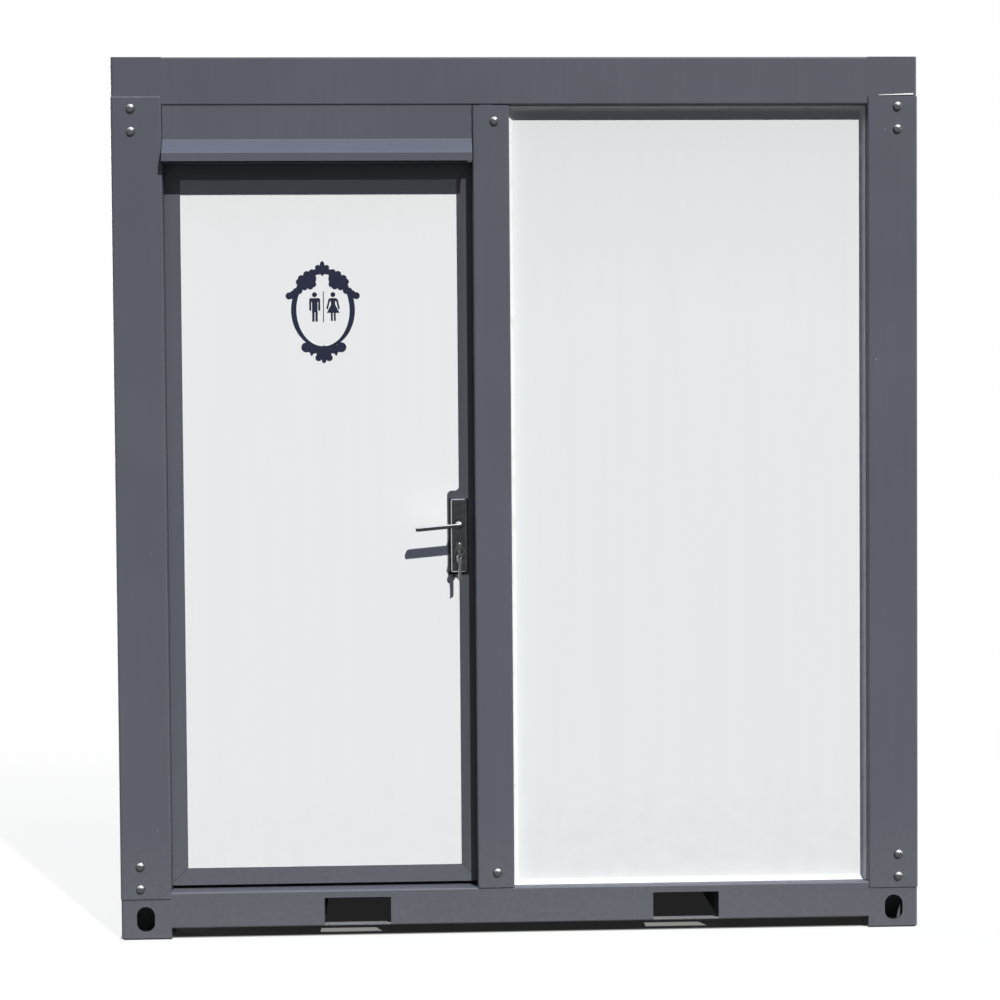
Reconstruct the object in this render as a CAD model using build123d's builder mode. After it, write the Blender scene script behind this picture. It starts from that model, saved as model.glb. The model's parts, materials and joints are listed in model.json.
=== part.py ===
"""Portable toilet cabin: a bolted steel frame with sandwich wall panels and one inward door.

The front faces -Y, +X is to the right of someone who faces the door, and +Z is up.
The origin lies on the ground, in the middle of the whole outline.
"""
import os
from math import cos, radians, sin

from build123d import *

os.makedirs("parts", exist_ok=True)

# Cabin frame
cabin_width = 2106.0
cabin_depth = 1300.0
cabin_height = 2300.0
canopy_reach = 33.0
half_width = cabin_width / 2
front_y = (canopy_reach - cabin_depth) / 2
rear_y = front_y + cabin_depth

# Folded steel sections: posts and mullions stand a little proud of rails and blocks
steel = 4.0
rail_flange = 60.0
base_lip = 30.0
bend_radius = 7.0
fold_radius = 5.0
post_face = 132.0
post_proud = 3.0
side_proud = 1.0
block_height = 108.0
cap_height = 104.0
base_rail_bottom = 29.0
base_rail_step = 16.0
top_rail_step = 20.0
floor_z = block_height + base_rail_step
top_rail_bottom = cabin_height - cap_height - top_rail_step
rail_end = half_width - post_face
rail_x = half_width - side_proud
front_rail_y = front_y + post_proud
rear_rail_y = rear_y - post_proud
frame_width = 2 * rail_x
frame_depth = rear_rail_y - front_rail_y

# Corner blocks
block_wall = 8.0
block_edge_radius = 8.0
block_foot_bevel = 5.0
block_width = post_face - side_proud
block_depth = post_face - post_proud
slot_width = 47.5
slot_height = 67.0
slot_inset = 64.0
slot_z = 54.0
post_top = cabin_height - cap_height

# Floor and fork tunnels
deck_thickness = 16.0
deck_bottom = floor_z - deck_thickness
fork_width = 174.5
fork_spacing = 867.0
fork_sill = 7.0
fork_bottom = base_rail_bottom + fork_sill
fork_top = deck_bottom - steel
joist_width = 40.0
joist_wall = 3.0
joist_inset = 138.0
joist_inner_share = 0.52
joist_inner_x = joist_inner_share * (fork_spacing - fork_width) / 2
joist_outer_x = rail_end - joist_inset
underframe_start = front_rail_y + fold_radius
underframe_length = frame_depth - 2 * fold_radius

# Wall panels
panel_thickness = 50.0
panel_recess = 43.0
panel_height = top_rail_bottom - floor_z
side_panel_inner = half_width - panel_recess - panel_thickness
mullion_width = 96.0
mullion_x = -68.5
mullion_gap = 1.5
mullion_right = mullion_x + mullion_width / 2
mullion_height = panel_height - mullion_gap

# Roof panel
roof_thickness = 50.0
roof_gap = 4.0
rib_height = 35.0
rib_foot = 90.0
rib_crown = 45.0
rib_pitch = 300.0
rib_count = int(2 * rail_end / rib_pitch)
roof_bottom = top_rail_bottom + steel
roof_top = roof_bottom + roof_thickness

# Canopy over the door, and the header behind it
canopy_sheet = 3.0
canopy_recess = 4.0
canopy_fascia = 87.5
canopy_slope_drop = 37.0
canopy_lip_height = 22.0
canopy_bend_radius = 5.0
header_gap = 1.5
header_wall = 3.0
header_top = top_rail_bottom - header_gap
canopy_start_z = header_top - canopy_fascia
canopy_fold_z = canopy_start_z - canopy_slope_drop
header_bottom = canopy_fold_z - canopy_lip_height

# Doorway
opening_left = -rail_end
opening_right = mullion_x - mullion_width / 2
door_recess = 48.0
stop_gap = 5.0
stop_depth = door_recess - stop_gap
jamb_gap = 12.0
jamb_wall = 3.0
lock_jamb_width = 33.0
head_gap = 8.0

# Door leaf
leaf_thickness = 40.0
leaf_overlap = 9.0
leaf_floor_gap = 10.0
leaf_skin = 2.0
stile_width = 50.0
foot_rail_width = 45.0
leaf_left = opening_left - leaf_overlap
leaf_right = opening_right + leaf_overlap
leaf_bottom = floor_z + leaf_floor_gap
leaf_top = header_bottom + leaf_overlap
leaf_front = front_y + door_recess
leaf_back = leaf_front + leaf_thickness
field_left = leaf_left + stile_width
field_right = leaf_right - stile_width
field_bottom = leaf_bottom + foot_rail_width
field_top = leaf_top - stile_width
leaf_width = leaf_right - leaf_left
leaf_height = leaf_top - leaf_bottom
leaf_middle_x = (leaf_left + leaf_right) / 2
leaf_middle_y = (leaf_front + leaf_back) / 2
leaf_middle_z = (leaf_bottom + leaf_top) / 2

# Lock and lever
lock_backset = 51.0
lock_x = leaf_right - lock_backset
lever_z = 1083.0
cylinder_drop = 55.0
cylinder_z = lever_z - cylinder_drop
plate_width = 42.5
plate_height = 193.0
plate_thickness = 10.0
plate_drop = 31.0
plate_z = lever_z - plate_drop
plate_corner_radius = 6.0
plate_bevel = 2.5
pad_reach = 31.0
pad_height = 228.0
pad_drop = 27.0
pad_z = lever_z - pad_drop
pad_corner_radius = 12.0
pad_root_radius = 12.0
lever_neck_radius = 9.0
lever_neck_gap = 0.4
lever_length = 115.0
lever_height = 9.0
lever_depth = 20.0
lever_projection = 79.0
lever_elbow_radius = 14.0
lever_tip_radius = 6.0
lever_edge_bevel = 1.5
lever_droop_degrees = 2.5
neck_seat = 1.0
spindle_side = 8.0
spindle_bore = 14.0
cylinder_radius = 8.5
cylinder_tail_width = 10.0
cylinder_height = 33.0
cylinder_proud = 2.0
cylinder_gap = 0.3
cylinder_bore_gap = 2.0
cylinder_tail = cylinder_height - cylinder_radius
cylinder_bore_radius = cylinder_height / 2 + cylinder_bore_gap
cylinder_bore_z = cylinder_z + cylinder_radius - cylinder_height / 2
latch_plate_width = 22.0
latch_plate_height = 160.0
latch_plate_thickness = 2.0
latch_height = 20.0
latch_width = 14.0
latch_nose = 2.0
strike_thickness = 2.0

# Hinges
hinge_inset = 171.0
hinge_zs = [leaf_bottom + hinge_inset, leaf_middle_z, leaf_top - hinge_inset]
hinge_length = 100.0
hinge_flap_thickness = 3.0
hinge_flap_width = 17.0
hinge_knuckle_radius = 7.0
hinge_pin_radius = 4.0
hinge_pin_gap = 0.3
hinge_split_gap = 1.0
hinge_offset = 10.0
hinge_x = leaf_left - jamb_gap / 2
hinge_y = leaf_back + hinge_offset
jamb_left = -side_panel_inner
jamb_right = leaf_left - jamb_gap

# Keys
key_thickness = 2.5
key_bow_radius = 12.0
key_hole_radius = 4.5
key_shank = 9.5
key_reach = 22.0
key_turn_degrees = 45.0
key_blade_length = 40.0
key_tooth_depth = 2.2
key_tooth_pitch = 5.0
key_tooth_count = 5
ring_radius = 12.0
ring_wire = 0.9
ring_gap = 0.3
turned_key_room = 0.9

corners = {
    "front_left": (-1, -1),
    "front_right": (1, -1),
    "rear_left": (-1, 1),
    "rear_right": (1, 1),
}


def face_y(side):
    """The outer face of the posts at the front (-1) or the rear (1)."""
    return front_y if side < 0 else rear_y


def rail_y(side):
    """The outer face of the rails and corner blocks at the front (-1) or the rear (1)."""
    return front_rail_y if side < 0 else rear_rail_y


def inner_side(turn):
    """The side on which a folded section's thickness lies, for a path that turns that way."""
    return Side.LEFT if turn > 0 else Side.RIGHT


# Bottom corner blocks: open below, with an oblong slot in each outer face
for name, (sx, sy) in corners.items():
    corner_x = sx * rail_x
    corner_y = rail_y(sy)
    middle_x = corner_x - sx * block_width / 2
    middle_y = corner_y - sy * block_depth / 2
    slot_x = corner_x - sx * slot_inset
    slot_y = corner_y - sy * slot_inset
    with BuildPart() as block:
        with BuildSketch(Plane.XY):
            with Locations((middle_x, middle_y)):
                Rectangle(block_width, block_depth)
        extrude(amount=block_height)
        uprights = block.edges().filter_by(Axis.Z)
        outer_corner = (corner_x, corner_y, block_height / 2)
        fillet(uprights.sort_by_distance(outer_corner)[0], radius=block_edge_radius)
        foot_edges = block.faces().sort_by(Axis.Z)[0].edges()
        chamfer(foot_edges.sort_by_distance((corner_x, corner_y, 0))[:3], length=block_foot_bevel)
        with BuildSketch(Plane.XY):
            with Locations((middle_x, middle_y)):
                Rectangle(block_width - 2 * block_wall, block_depth - 2 * block_wall)
        extrude(amount=block_height - block_wall, mode=Mode.SUBTRACT)
        with BuildSketch(Plane.XZ.offset(-corner_y)):
            with Locations((slot_x, slot_z)):
                SlotOverall(slot_height, slot_width, rotation=90)
        extrude(amount=block_wall, both=True, mode=Mode.SUBTRACT)
        with BuildSketch(Plane.YZ.offset(corner_x)):
            with Locations((slot_y, slot_z)):
                SlotOverall(slot_height, slot_width, rotation=90)
        extrude(amount=block_wall, both=True, mode=Mode.SUBTRACT)
    block.part.label = "corner_block_" + name
    export_step(block.part, "parts/corner_block_" + name + ".step")


# Front and rear base rails: channels with two fork cut-outs in the web
for name, sy in (("front", -1), ("rear", 1)):
    outer_y = rail_y(sy)
    with BuildPart() as base_rail:
        with BuildSketch(Plane.YZ.offset(-rail_end)):
            with BuildLine():
                FilletPolyline(
                    (outer_y - sy * base_lip, base_rail_bottom),
                    (outer_y, base_rail_bottom),
                    (outer_y, floor_z),
                    (outer_y - sy * rail_flange, floor_z),
                    radius=fold_radius,
                )
                offset(amount=steel, side=inner_side(sy))
            make_face()
        extrude(amount=2 * rail_end)
        with BuildSketch(Plane.XZ.offset(-outer_y)):
            with Locations((0, (fork_bottom + fork_top) / 2)):
                with GridLocations(fork_spacing, 0, 2, 1):
                    Rectangle(fork_width, fork_top - fork_bottom)
        extrude(amount=steel, both=True, mode=Mode.SUBTRACT)
    base_rail.part.label = "base_rail_" + name
    export_step(base_rail.part, "parts/base_rail_" + name + ".step")


# Side base rails
with BuildPart() as side_base_rails:
    for sx in (-1, 1):
        outer_x = sx * rail_x
        with BuildSketch(Plane.XZ.offset(-front_y - post_face)):
            with BuildLine():
                FilletPolyline(
                    (outer_x - sx * base_lip, base_rail_bottom),
                    (outer_x, base_rail_bottom),
                    (outer_x, floor_z),
                    (outer_x - sx * rail_flange, floor_z),
                    radius=fold_radius,
                )
                offset(amount=steel, side=inner_side(sx))
            make_face()
        extrude(amount=-(cabin_depth - 2 * post_face))
side_base_rails.part.label = "base_rails_side"
export_step(side_base_rails.part, "parts/base_rails_side.step")


# Fork channels: upturned troughs from the front rail to the rear rail, open below
with BuildPart() as fork_channels:
    for sx in (-1, 1):
        with BuildSketch(Plane.XZ.offset(-underframe_start)):
            channel_x = sx * fork_spacing / 2
            with Locations((channel_x, base_rail_bottom + steel)):
                Rectangle(
                    fork_width + 2 * steel,
                    deck_bottom - base_rail_bottom - steel,
                    align=(Align.CENTER, Align.MIN),
                )
                Rectangle(
                    fork_width,
                    fork_top - base_rail_bottom - steel,
                    align=(Align.CENTER, Align.MIN),
                    mode=Mode.SUBTRACT,
                )
        extrude(amount=-underframe_length)
fork_channels.part.label = "fork_channels"
export_step(fork_channels.part, "parts/fork_channels.step")


# Floor joists: square tubes that stand on the lower rail flanges
with BuildPart() as floor_joists:
    with BuildSketch(Plane.XZ.offset(-underframe_start)):
        for joist_x in (-joist_outer_x, -joist_inner_x, joist_inner_x, joist_outer_x):
            with Locations((joist_x, (base_rail_bottom + steel + deck_bottom) / 2)):
                Rectangle(joist_width, deck_bottom - base_rail_bottom - steel)
                Rectangle(
                    joist_width - 2 * joist_wall,
                    deck_bottom - base_rail_bottom - steel - 2 * joist_wall,
                    mode=Mode.SUBTRACT,
                )
    extrude(amount=-underframe_length)
floor_joists.part.label = "floor_joists"
export_step(floor_joists.part, "parts/floor_joists.step")


# Floor deck, flush with the rails' upper flanges
with BuildPart() as floor_deck:
    with BuildSketch(Plane.XY.offset(deck_bottom)):
        with Locations((0, (front_y + rear_y) / 2)):
            Rectangle(frame_width - 2 * rail_flange, frame_depth - 2 * rail_flange)
    extrude(amount=deck_thickness)
floor_deck.part.label = "floor_deck"
export_step(floor_deck.part, "parts/floor_deck.step")


# Corner posts: folded angles whose edges turn in to meet the panels or the door stop
for name, (sx, sy) in corners.items():
    corner_x = sx * half_width
    corner_y = face_y(sy)
    front_return = stop_depth if name == "front_left" else panel_recess
    with BuildPart() as post:
        with BuildSketch(Plane.XY.offset(block_height)):
            with BuildLine():
                FilletPolyline(
                    (corner_x - sx * post_face, corner_y - sy * front_return),
                    (corner_x - sx * post_face, corner_y),
                    (corner_x, corner_y),
                    (corner_x, corner_y - sy * post_face),
                    (corner_x - sx * panel_recess, corner_y - sy * post_face),
                    radius=[fold_radius, bend_radius, fold_radius],
                )
                offset(amount=steel, side=inner_side(-sx * sy))
            make_face()
        extrude(amount=post_top - block_height)
    post.part.label = "corner_post_" + name
    export_step(post.part, "parts/corner_post_" + name + ".step")


# Top corner blocks: plain caps, open below
with BuildPart() as top_blocks:
    for sx, sy in corners.values():
        with BuildSketch(Plane.XY.offset(post_top)):
            with Locations((sx * (rail_x - block_width / 2), rail_y(sy) - sy * block_depth / 2)):
                Rectangle(block_width, block_depth)
        extrude(amount=cap_height)
    for sx, sy in corners.values():
        upright = top_blocks.edges().filter_by(Axis.Z)
        outer_corner = (sx * rail_x, rail_y(sy), post_top + cap_height / 2)
        fillet(upright.sort_by_distance(outer_corner)[0], radius=block_edge_radius)
    for sx, sy in corners.values():
        with BuildSketch(Plane.XY.offset(post_top)):
            with Locations((sx * (rail_x - block_width / 2), rail_y(sy) - sy * block_depth / 2)):
                Rectangle(block_width - 2 * block_wall, block_depth - 2 * block_wall)
        extrude(amount=cap_height - block_wall, mode=Mode.SUBTRACT)
top_blocks.part.label = "top_corner_blocks"
export_step(top_blocks.part, "parts/top_corner_blocks.step")


# Front and rear top rails
for name, sy in (("front", -1), ("rear", 1)):
    outer_y = rail_y(sy)
    with BuildPart() as top_rail:
        with BuildSketch(Plane.YZ.offset(-rail_end)):
            with BuildLine():
                FilletPolyline(
                    (outer_y - sy * rail_flange, top_rail_bottom),
                    (outer_y, top_rail_bottom),
                    (outer_y, cabin_height),
                    (outer_y - sy * rail_flange, cabin_height),
                    radius=fold_radius,
                )
                offset(amount=steel, side=inner_side(sy))
            make_face()
        extrude(amount=2 * rail_end)
    top_rail.part.label = "top_rail_" + name
    export_step(top_rail.part, "parts/top_rail_" + name + ".step")


# Side top rails
with BuildPart() as side_top_rails:
    for sx in (-1, 1):
        outer_x = sx * rail_x
        with BuildSketch(Plane.XZ.offset(-front_y - post_face)):
            with BuildLine():
                FilletPolyline(
                    (outer_x - sx * rail_flange, top_rail_bottom),
                    (outer_x, top_rail_bottom),
                    (outer_x, cabin_height),
                    (outer_x - sx * rail_flange, cabin_height),
                    radius=fold_radius,
                )
                offset(amount=steel, side=inner_side(sx))
            make_face()
        extrude(amount=-(cabin_depth - 2 * post_face))
side_top_rails.part.label = "top_rails_side"
export_step(side_top_rails.part, "parts/top_rails_side.step")


# Roof panel: notched round the corner blocks, laid on the lower flanges, ribbed on top
with BuildPart() as roof_panel:
    with BuildSketch(Plane.XY.offset(roof_bottom)):
        with Locations((0, (front_y + rear_y) / 2)):
            Rectangle(2 * (rail_end - roof_gap), frame_depth - 2 * (steel + roof_gap))
            Rectangle(frame_width - 2 * (steel + roof_gap), cabin_depth - 2 * (post_face + roof_gap))
    extrude(amount=roof_thickness)
    with BuildSketch(Plane.XZ.offset(-front_rail_y - rail_flange)):
        with Locations((0, roof_top)):
            with GridLocations(rib_pitch, 0, rib_count, 1):
                Polygon(
                    (-rib_foot / 2, 0),
                    (rib_foot / 2, 0),
                    (rib_crown / 2, rib_height),
                    (-rib_crown / 2, rib_height),
                    align=None,
                )
    extrude(amount=-(frame_depth - 2 * rail_flange))
roof_panel.part.label = "roof_panel"
export_step(roof_panel.part, "parts/roof_panel.step")


# Mullions: folded hats that cover the joints at the front and the rear
with BuildPart() as front_mullion:
    with BuildSketch(Plane.XY.offset(floor_z)):
        with BuildLine():
            FilletPolyline(
                (opening_right, front_y + stop_depth),
                (opening_right, front_y),
                (mullion_right, front_y),
                (mullion_right, front_y + panel_recess),
                radius=fold_radius,
            )
            offset(amount=steel, side=Side.LEFT)
        make_face()
    extrude(amount=mullion_height)
front_mullion.part.label = "front_mullion"
export_step(front_mullion.part, "parts/front_mullion.step")

with BuildPart() as rear_mullion:
    with BuildSketch(Plane.XY.offset(floor_z)):
        with BuildLine():
            FilletPolyline(
                (-mullion_width / 2, rear_y - panel_recess),
                (-mullion_width / 2, rear_y),
                (mullion_width / 2, rear_y),
                (mullion_width / 2, rear_y - panel_recess),
                radius=fold_radius,
            )
            offset(amount=steel, side=Side.RIGHT)
        make_face()
    extrude(amount=mullion_height)
rear_mullion.part.label = "rear_mullion"
export_step(rear_mullion.part, "parts/rear_mullion.step")


# Wall panels
for name, sx in (("left", -1), ("right", 1)):
    with BuildPart() as side_panel:
        with BuildSketch(Plane.XY.offset(floor_z)):
            with Locations((sx * (side_panel_inner + panel_thickness / 2), (front_y + rear_y) / 2)):
                Rectangle(panel_thickness, cabin_depth - 2 * panel_recess)
        extrude(amount=panel_height)
    side_panel.part.label = name + "_wall_panel"
    export_step(side_panel.part, "parts/" + name + "_wall_panel.step")

lock_jamb_left = leaf_right + jamb_gap
lock_jamb_right = lock_jamb_left + lock_jamb_width
lock_jamb_front = front_y + steel
with BuildPart() as front_panel:
    with BuildSketch(Plane.XY.offset(floor_z)):
        with Locations((lock_jamb_right, front_y + panel_recess)):
            Rectangle(side_panel_inner - lock_jamb_right, panel_thickness, align=(Align.MIN, Align.MIN))
    extrude(amount=panel_height)
front_panel.part.label = "front_wall_panel"
export_step(front_panel.part, "parts/front_wall_panel.step")

with BuildPart() as rear_panels:
    with BuildSketch(Plane.XY.offset(floor_z)):
        with Locations((0, rear_y - panel_recess)):
            Rectangle(2 * side_panel_inner, panel_thickness, align=(Align.CENTER, Align.MAX))
    extrude(amount=panel_height)
rear_panels.part.label = "rear_wall_panel"
export_step(rear_panels.part, "parts/rear_wall_panel.step")


# Door jambs and the panel over the doorway
with BuildPart() as door_jambs:
    with BuildSketch(Plane.XY.offset(floor_z)):
        with Locations(((jamb_left + jamb_right) / 2, leaf_middle_y)):
            Rectangle(jamb_right - jamb_left, leaf_thickness)
            Rectangle(
                jamb_right - jamb_left - 2 * jamb_wall,
                leaf_thickness - 2 * jamb_wall,
                mode=Mode.SUBTRACT,
            )
        with Locations((lock_jamb_left + lock_jamb_width / 2, (lock_jamb_front + leaf_back) / 2)):
            Rectangle(lock_jamb_width, leaf_back - lock_jamb_front)
            Rectangle(
                lock_jamb_width - 2 * jamb_wall,
                leaf_back - lock_jamb_front - 2 * jamb_wall,
                mode=Mode.SUBTRACT,
            )
    extrude(amount=panel_height)
    with BuildSketch(Plane.YZ.offset(lock_jamb_left)):
        with Locations((leaf_middle_y, lever_z)):
            Rectangle(latch_width, latch_height)
    extrude(amount=jamb_wall, mode=Mode.SUBTRACT)
door_jambs.part.label = "door_jambs"
export_step(door_jambs.part, "parts/door_jambs.step")

head_bottom = leaf_top + head_gap
header_back = front_y + stop_depth
with BuildPart() as head_panel:
    with BuildSketch(Plane.XY.offset(head_bottom)):
        with Locations((jamb_right, header_back)):
            Rectangle(lock_jamb_left - jamb_right, leaf_back - header_back, align=(Align.MIN, Align.MIN))
    extrude(amount=top_rail_bottom - head_bottom)
head_panel.part.label = "door_head_panel"
export_step(head_panel.part, "parts/door_head_panel.step")


# Door header, the stop above the leaf
header_left = opening_left + header_gap
header_right = opening_right - header_gap
header_front = front_y + canopy_recess + canopy_sheet
header_depth = header_back - header_front
header_height = header_top - header_bottom
with BuildPart() as door_header:
    with BuildSketch(Plane.YZ.offset(header_left)):
        with Locations(((header_front + header_back) / 2, (header_bottom + header_top) / 2)):
            Rectangle(header_depth, header_height)
            Rectangle(header_depth - 2 * header_wall, header_height - 2 * header_wall, mode=Mode.SUBTRACT)
    extrude(amount=header_right - header_left)
door_header.part.label = "door_header"
export_step(door_header.part, "parts/door_header.step")


# Drip canopy: one sheet, flat against the header, folded out and down to a lip
canopy_face = front_y + canopy_recess
canopy_lip = front_y - canopy_reach
with BuildPart() as door_canopy:
    with BuildSketch(Plane.YZ.offset(header_left)):
        with BuildLine():
            FilletPolyline(
                (canopy_face, header_top),
                (canopy_face, canopy_start_z),
                (canopy_lip, canopy_fold_z),
                (canopy_lip, header_bottom),
                radius=canopy_bend_radius,
            )
            offset(amount=canopy_sheet, side=Side.LEFT)
        make_face()
    extrude(amount=header_right - header_left)
door_canopy.part.label = "door_canopy"
export_step(door_canopy.part, "parts/door_canopy.step")


# Door leaf: a white panel held in folded edge channels with mitred corners
with BuildPart() as door_panel:
    with BuildSketch(Plane.XZ.offset(-leaf_front - leaf_skin)):
        with Locations((leaf_middle_x, leaf_middle_z)):
            Rectangle(leaf_width - 2 * leaf_skin, leaf_height - 2 * leaf_skin)
        with Locations((lock_x, lever_z)):
            Circle(spindle_bore / 2, mode=Mode.SUBTRACT)
        with Locations((lock_x, cylinder_bore_z)):
            Circle(cylinder_bore_radius, mode=Mode.SUBTRACT)
    extrude(amount=-(leaf_thickness - 2 * leaf_skin))
door_panel.part.label = "door_panel"
export_step(door_panel.part, "parts/door_panel.step")

outer_corners = [
    (leaf_left, leaf_bottom),
    (leaf_right, leaf_bottom),
    (leaf_right, leaf_top),
    (leaf_left, leaf_top),
]
field_corners = [
    (field_left, field_bottom),
    (field_right, field_bottom),
    (field_right, field_top),
    (field_left, field_top),
]
for index, name in enumerate(("door_rail_bottom", "door_stile_lock", "door_rail_top", "door_stile_hinge")):
    following = (index + 1) % len(outer_corners)
    with BuildPart() as edge_channel:
        with BuildSketch(Plane.XZ.offset(-leaf_front)):
            with BuildLine():
                Polyline(
                    outer_corners[index],
                    outer_corners[following],
                    field_corners[following],
                    field_corners[index],
                    close=True,
                )
            make_face()
        extrude(amount=-leaf_thickness)
        with BuildSketch(Plane.XZ.offset(-leaf_front - leaf_skin)):
            with Locations((leaf_middle_x, leaf_middle_z)):
                Rectangle(leaf_width - 2 * leaf_skin, leaf_height - 2 * leaf_skin)
        extrude(amount=-(leaf_thickness - 2 * leaf_skin), mode=Mode.SUBTRACT)
        with BuildSketch(Plane.XZ.offset(-leaf_front)):
            with Locations((lock_x, lever_z)):
                Circle(spindle_bore / 2)
            with Locations((lock_x, cylinder_bore_z)):
                Circle(cylinder_bore_radius)
        extrude(amount=-leaf_thickness, mode=Mode.SUBTRACT)
    edge_channel.part.label = name
    export_step(edge_channel.part, "parts/" + name + ".step")


# Lock pad: a grey tongue that runs out of the stile behind the lock plate
pad_left = field_right - pad_reach
pad_top = pad_z + pad_height / 2
pad_bottom = pad_z - pad_height / 2
with BuildPart() as lock_pad:
    with BuildSketch(Plane.XZ.offset(-leaf_front)):
        with BuildLine():
            Line((field_right, pad_bottom - pad_root_radius), (field_right, pad_top + pad_root_radius))
            RadiusArc(
                (field_right, pad_top + pad_root_radius),
                (field_right - pad_root_radius, pad_top),
                pad_root_radius,
            )
            Line((field_right - pad_root_radius, pad_top), (pad_left + pad_corner_radius, pad_top))
            RadiusArc(
                (pad_left + pad_corner_radius, pad_top),
                (pad_left, pad_top - pad_corner_radius),
                -pad_corner_radius,
            )
            Line((pad_left, pad_top - pad_corner_radius), (pad_left, pad_bottom + pad_corner_radius))
            RadiusArc(
                (pad_left, pad_bottom + pad_corner_radius),
                (pad_left + pad_corner_radius, pad_bottom),
                -pad_corner_radius,
            )
            Line((pad_left + pad_corner_radius, pad_bottom), (field_right - pad_root_radius, pad_bottom))
            RadiusArc(
                (field_right - pad_root_radius, pad_bottom),
                (field_right, pad_bottom - pad_root_radius),
                pad_root_radius,
            )
        make_face()
        with Locations((lock_x, lever_z)):
            Circle(spindle_bore / 2, mode=Mode.SUBTRACT)
        with Locations((lock_x, cylinder_bore_z)):
            Circle(cylinder_bore_radius, mode=Mode.SUBTRACT)
    extrude(amount=-leaf_skin)
lock_pad.part.label = "lock_pad"
export_step(lock_pad.part, "parts/lock_pad.step")


# Lock plates: one outside, one inside
with BuildPart() as lock_plates:
    for plate_face, outward in ((leaf_front, 1), (leaf_back, -1)):
        with BuildSketch(Plane.XZ.offset(-plate_face)):
            with Locations((lock_x, plate_z)):
                RectangleRounded(plate_width, plate_height, plate_corner_radius)
        extrude(amount=outward * plate_thickness)
    chamfer(lock_plates.faces().sort_by(Axis.Y)[0].edges(), length=plate_bevel)
    chamfer(lock_plates.faces().sort_by(Axis.Y)[-1].edges(), length=plate_bevel)
    with BuildSketch(Plane.XZ.offset(-leaf_middle_y)):
        with Locations((lock_x, lever_z)):
            Circle(lever_neck_radius + lever_neck_gap)
        with Locations((lock_x, cylinder_z)):
            Circle(cylinder_radius + cylinder_gap)
            Rectangle(
                cylinder_tail_width + 2 * cylinder_gap,
                cylinder_tail + cylinder_gap,
                align=(Align.CENTER, Align.MAX),
            )
    extrude(amount=leaf_thickness / 2 + plate_thickness, both=True, mode=Mode.SUBTRACT)
lock_plates.part.label = "lock_plates"
export_step(lock_plates.part, "parts/lock_plates.step")


# Lock cylinder, through the leaf from plate to plate
with BuildPart() as lock_cylinder:
    with BuildSketch(Plane.XZ.offset(-leaf_front + plate_thickness + cylinder_proud)):
        with Locations((lock_x, cylinder_z)):
            Circle(cylinder_radius)
            Rectangle(cylinder_tail_width, cylinder_tail, align=(Align.CENTER, Align.MAX))
    extrude(amount=-(leaf_thickness + 2 * plate_thickness + 2 * cylinder_proud))
lock_cylinder.part.label = "lock_cylinder"
export_step(lock_cylinder.part, "parts/lock_cylinder.step")


# Latch plate and bolt on the leaf's edge, and the strike plate on the jamb
with BuildPart() as latch:
    with BuildSketch(Plane.YZ.offset(leaf_right)):
        with Locations((leaf_middle_y, lever_z)):
            Rectangle(latch_plate_width, latch_plate_height)
    extrude(amount=latch_plate_thickness)
    with BuildSketch(Plane.YZ.offset(leaf_right + latch_plate_thickness)):
        with Locations((leaf_middle_y, lever_z)):
            Rectangle(latch_width, latch_height)
    extrude(amount=latch_nose)
latch.part.label = "latch_bolt"
export_step(latch.part, "parts/latch_bolt.step")

with BuildPart() as strike:
    with BuildSketch(Plane.YZ.offset(lock_jamb_left)):
        with Locations((leaf_middle_y, lever_z)):
            Rectangle(latch_plate_width, latch_plate_height)
            Rectangle(latch_width, latch_height, mode=Mode.SUBTRACT)
    extrude(amount=-strike_thickness)
strike.part.label = "strike_plate"
export_step(strike.part, "parts/strike_plate.step")


# Hinges: the leaf carries the middle knuckle, the jamb the outer two and the pin
knuckle_length = (hinge_length - 2 * hinge_split_gap) / 3
with BuildPart() as frame_hinges:
    for hinge_z in hinge_zs:
        with BuildSketch(Plane.XY.offset(hinge_z - hinge_length / 2)):
            with Locations((jamb_right, leaf_back)):
                Rectangle(hinge_flap_width, hinge_flap_thickness, align=(Align.MAX, Align.MIN))
        extrude(amount=hinge_length)
        for knuckle_z in (hinge_z - hinge_length / 2, hinge_z + hinge_length / 2 - knuckle_length):
            with BuildSketch(Plane.XY.offset(knuckle_z)):
                with Locations((hinge_x, hinge_y)):
                    Circle(hinge_knuckle_radius)
                with BuildLine():
                    Polyline(
                        (jamb_right - hinge_flap_thickness, leaf_back),
                        (jamb_right, leaf_back),
                        (hinge_x, hinge_y),
                        (hinge_x - hinge_knuckle_radius, hinge_y),
                        close=True,
                    )
                make_face()
            extrude(amount=knuckle_length)
        with BuildSketch(Plane.XY.offset(hinge_z - hinge_length / 2)):
            with Locations((hinge_x, hinge_y)):
                Circle(hinge_pin_radius)
        extrude(amount=hinge_length)
frame_hinges.part.label = "door_hinges_frame"
export_step(frame_hinges.part, "parts/door_hinges_frame.step")

with BuildPart() as leaf_hinges:
    for hinge_z in hinge_zs:
        with BuildSketch(Plane.XY.offset(hinge_z - hinge_length / 2)):
            with Locations((leaf_left, leaf_back)):
                Rectangle(hinge_flap_width, hinge_flap_thickness, align=(Align.MIN, Align.MIN))
        extrude(amount=hinge_length)
        with BuildSketch(Plane.XY.offset(hinge_z - knuckle_length / 2)):
            with Locations((hinge_x, hinge_y)):
                Circle(hinge_knuckle_radius)
            with BuildLine():
                Polyline(
                    (leaf_left + hinge_flap_thickness, leaf_back),
                    (leaf_left, leaf_back),
                    (hinge_x, hinge_y),
                    (hinge_x + hinge_knuckle_radius, hinge_y),
                    close=True,
                )
            make_face()
            with Locations((hinge_x, hinge_y)):
                Circle(hinge_pin_radius + hinge_pin_gap, mode=Mode.SUBTRACT)
        extrude(amount=knuckle_length)
leaf_hinges.part.label = "door_hinges_leaf"
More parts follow.
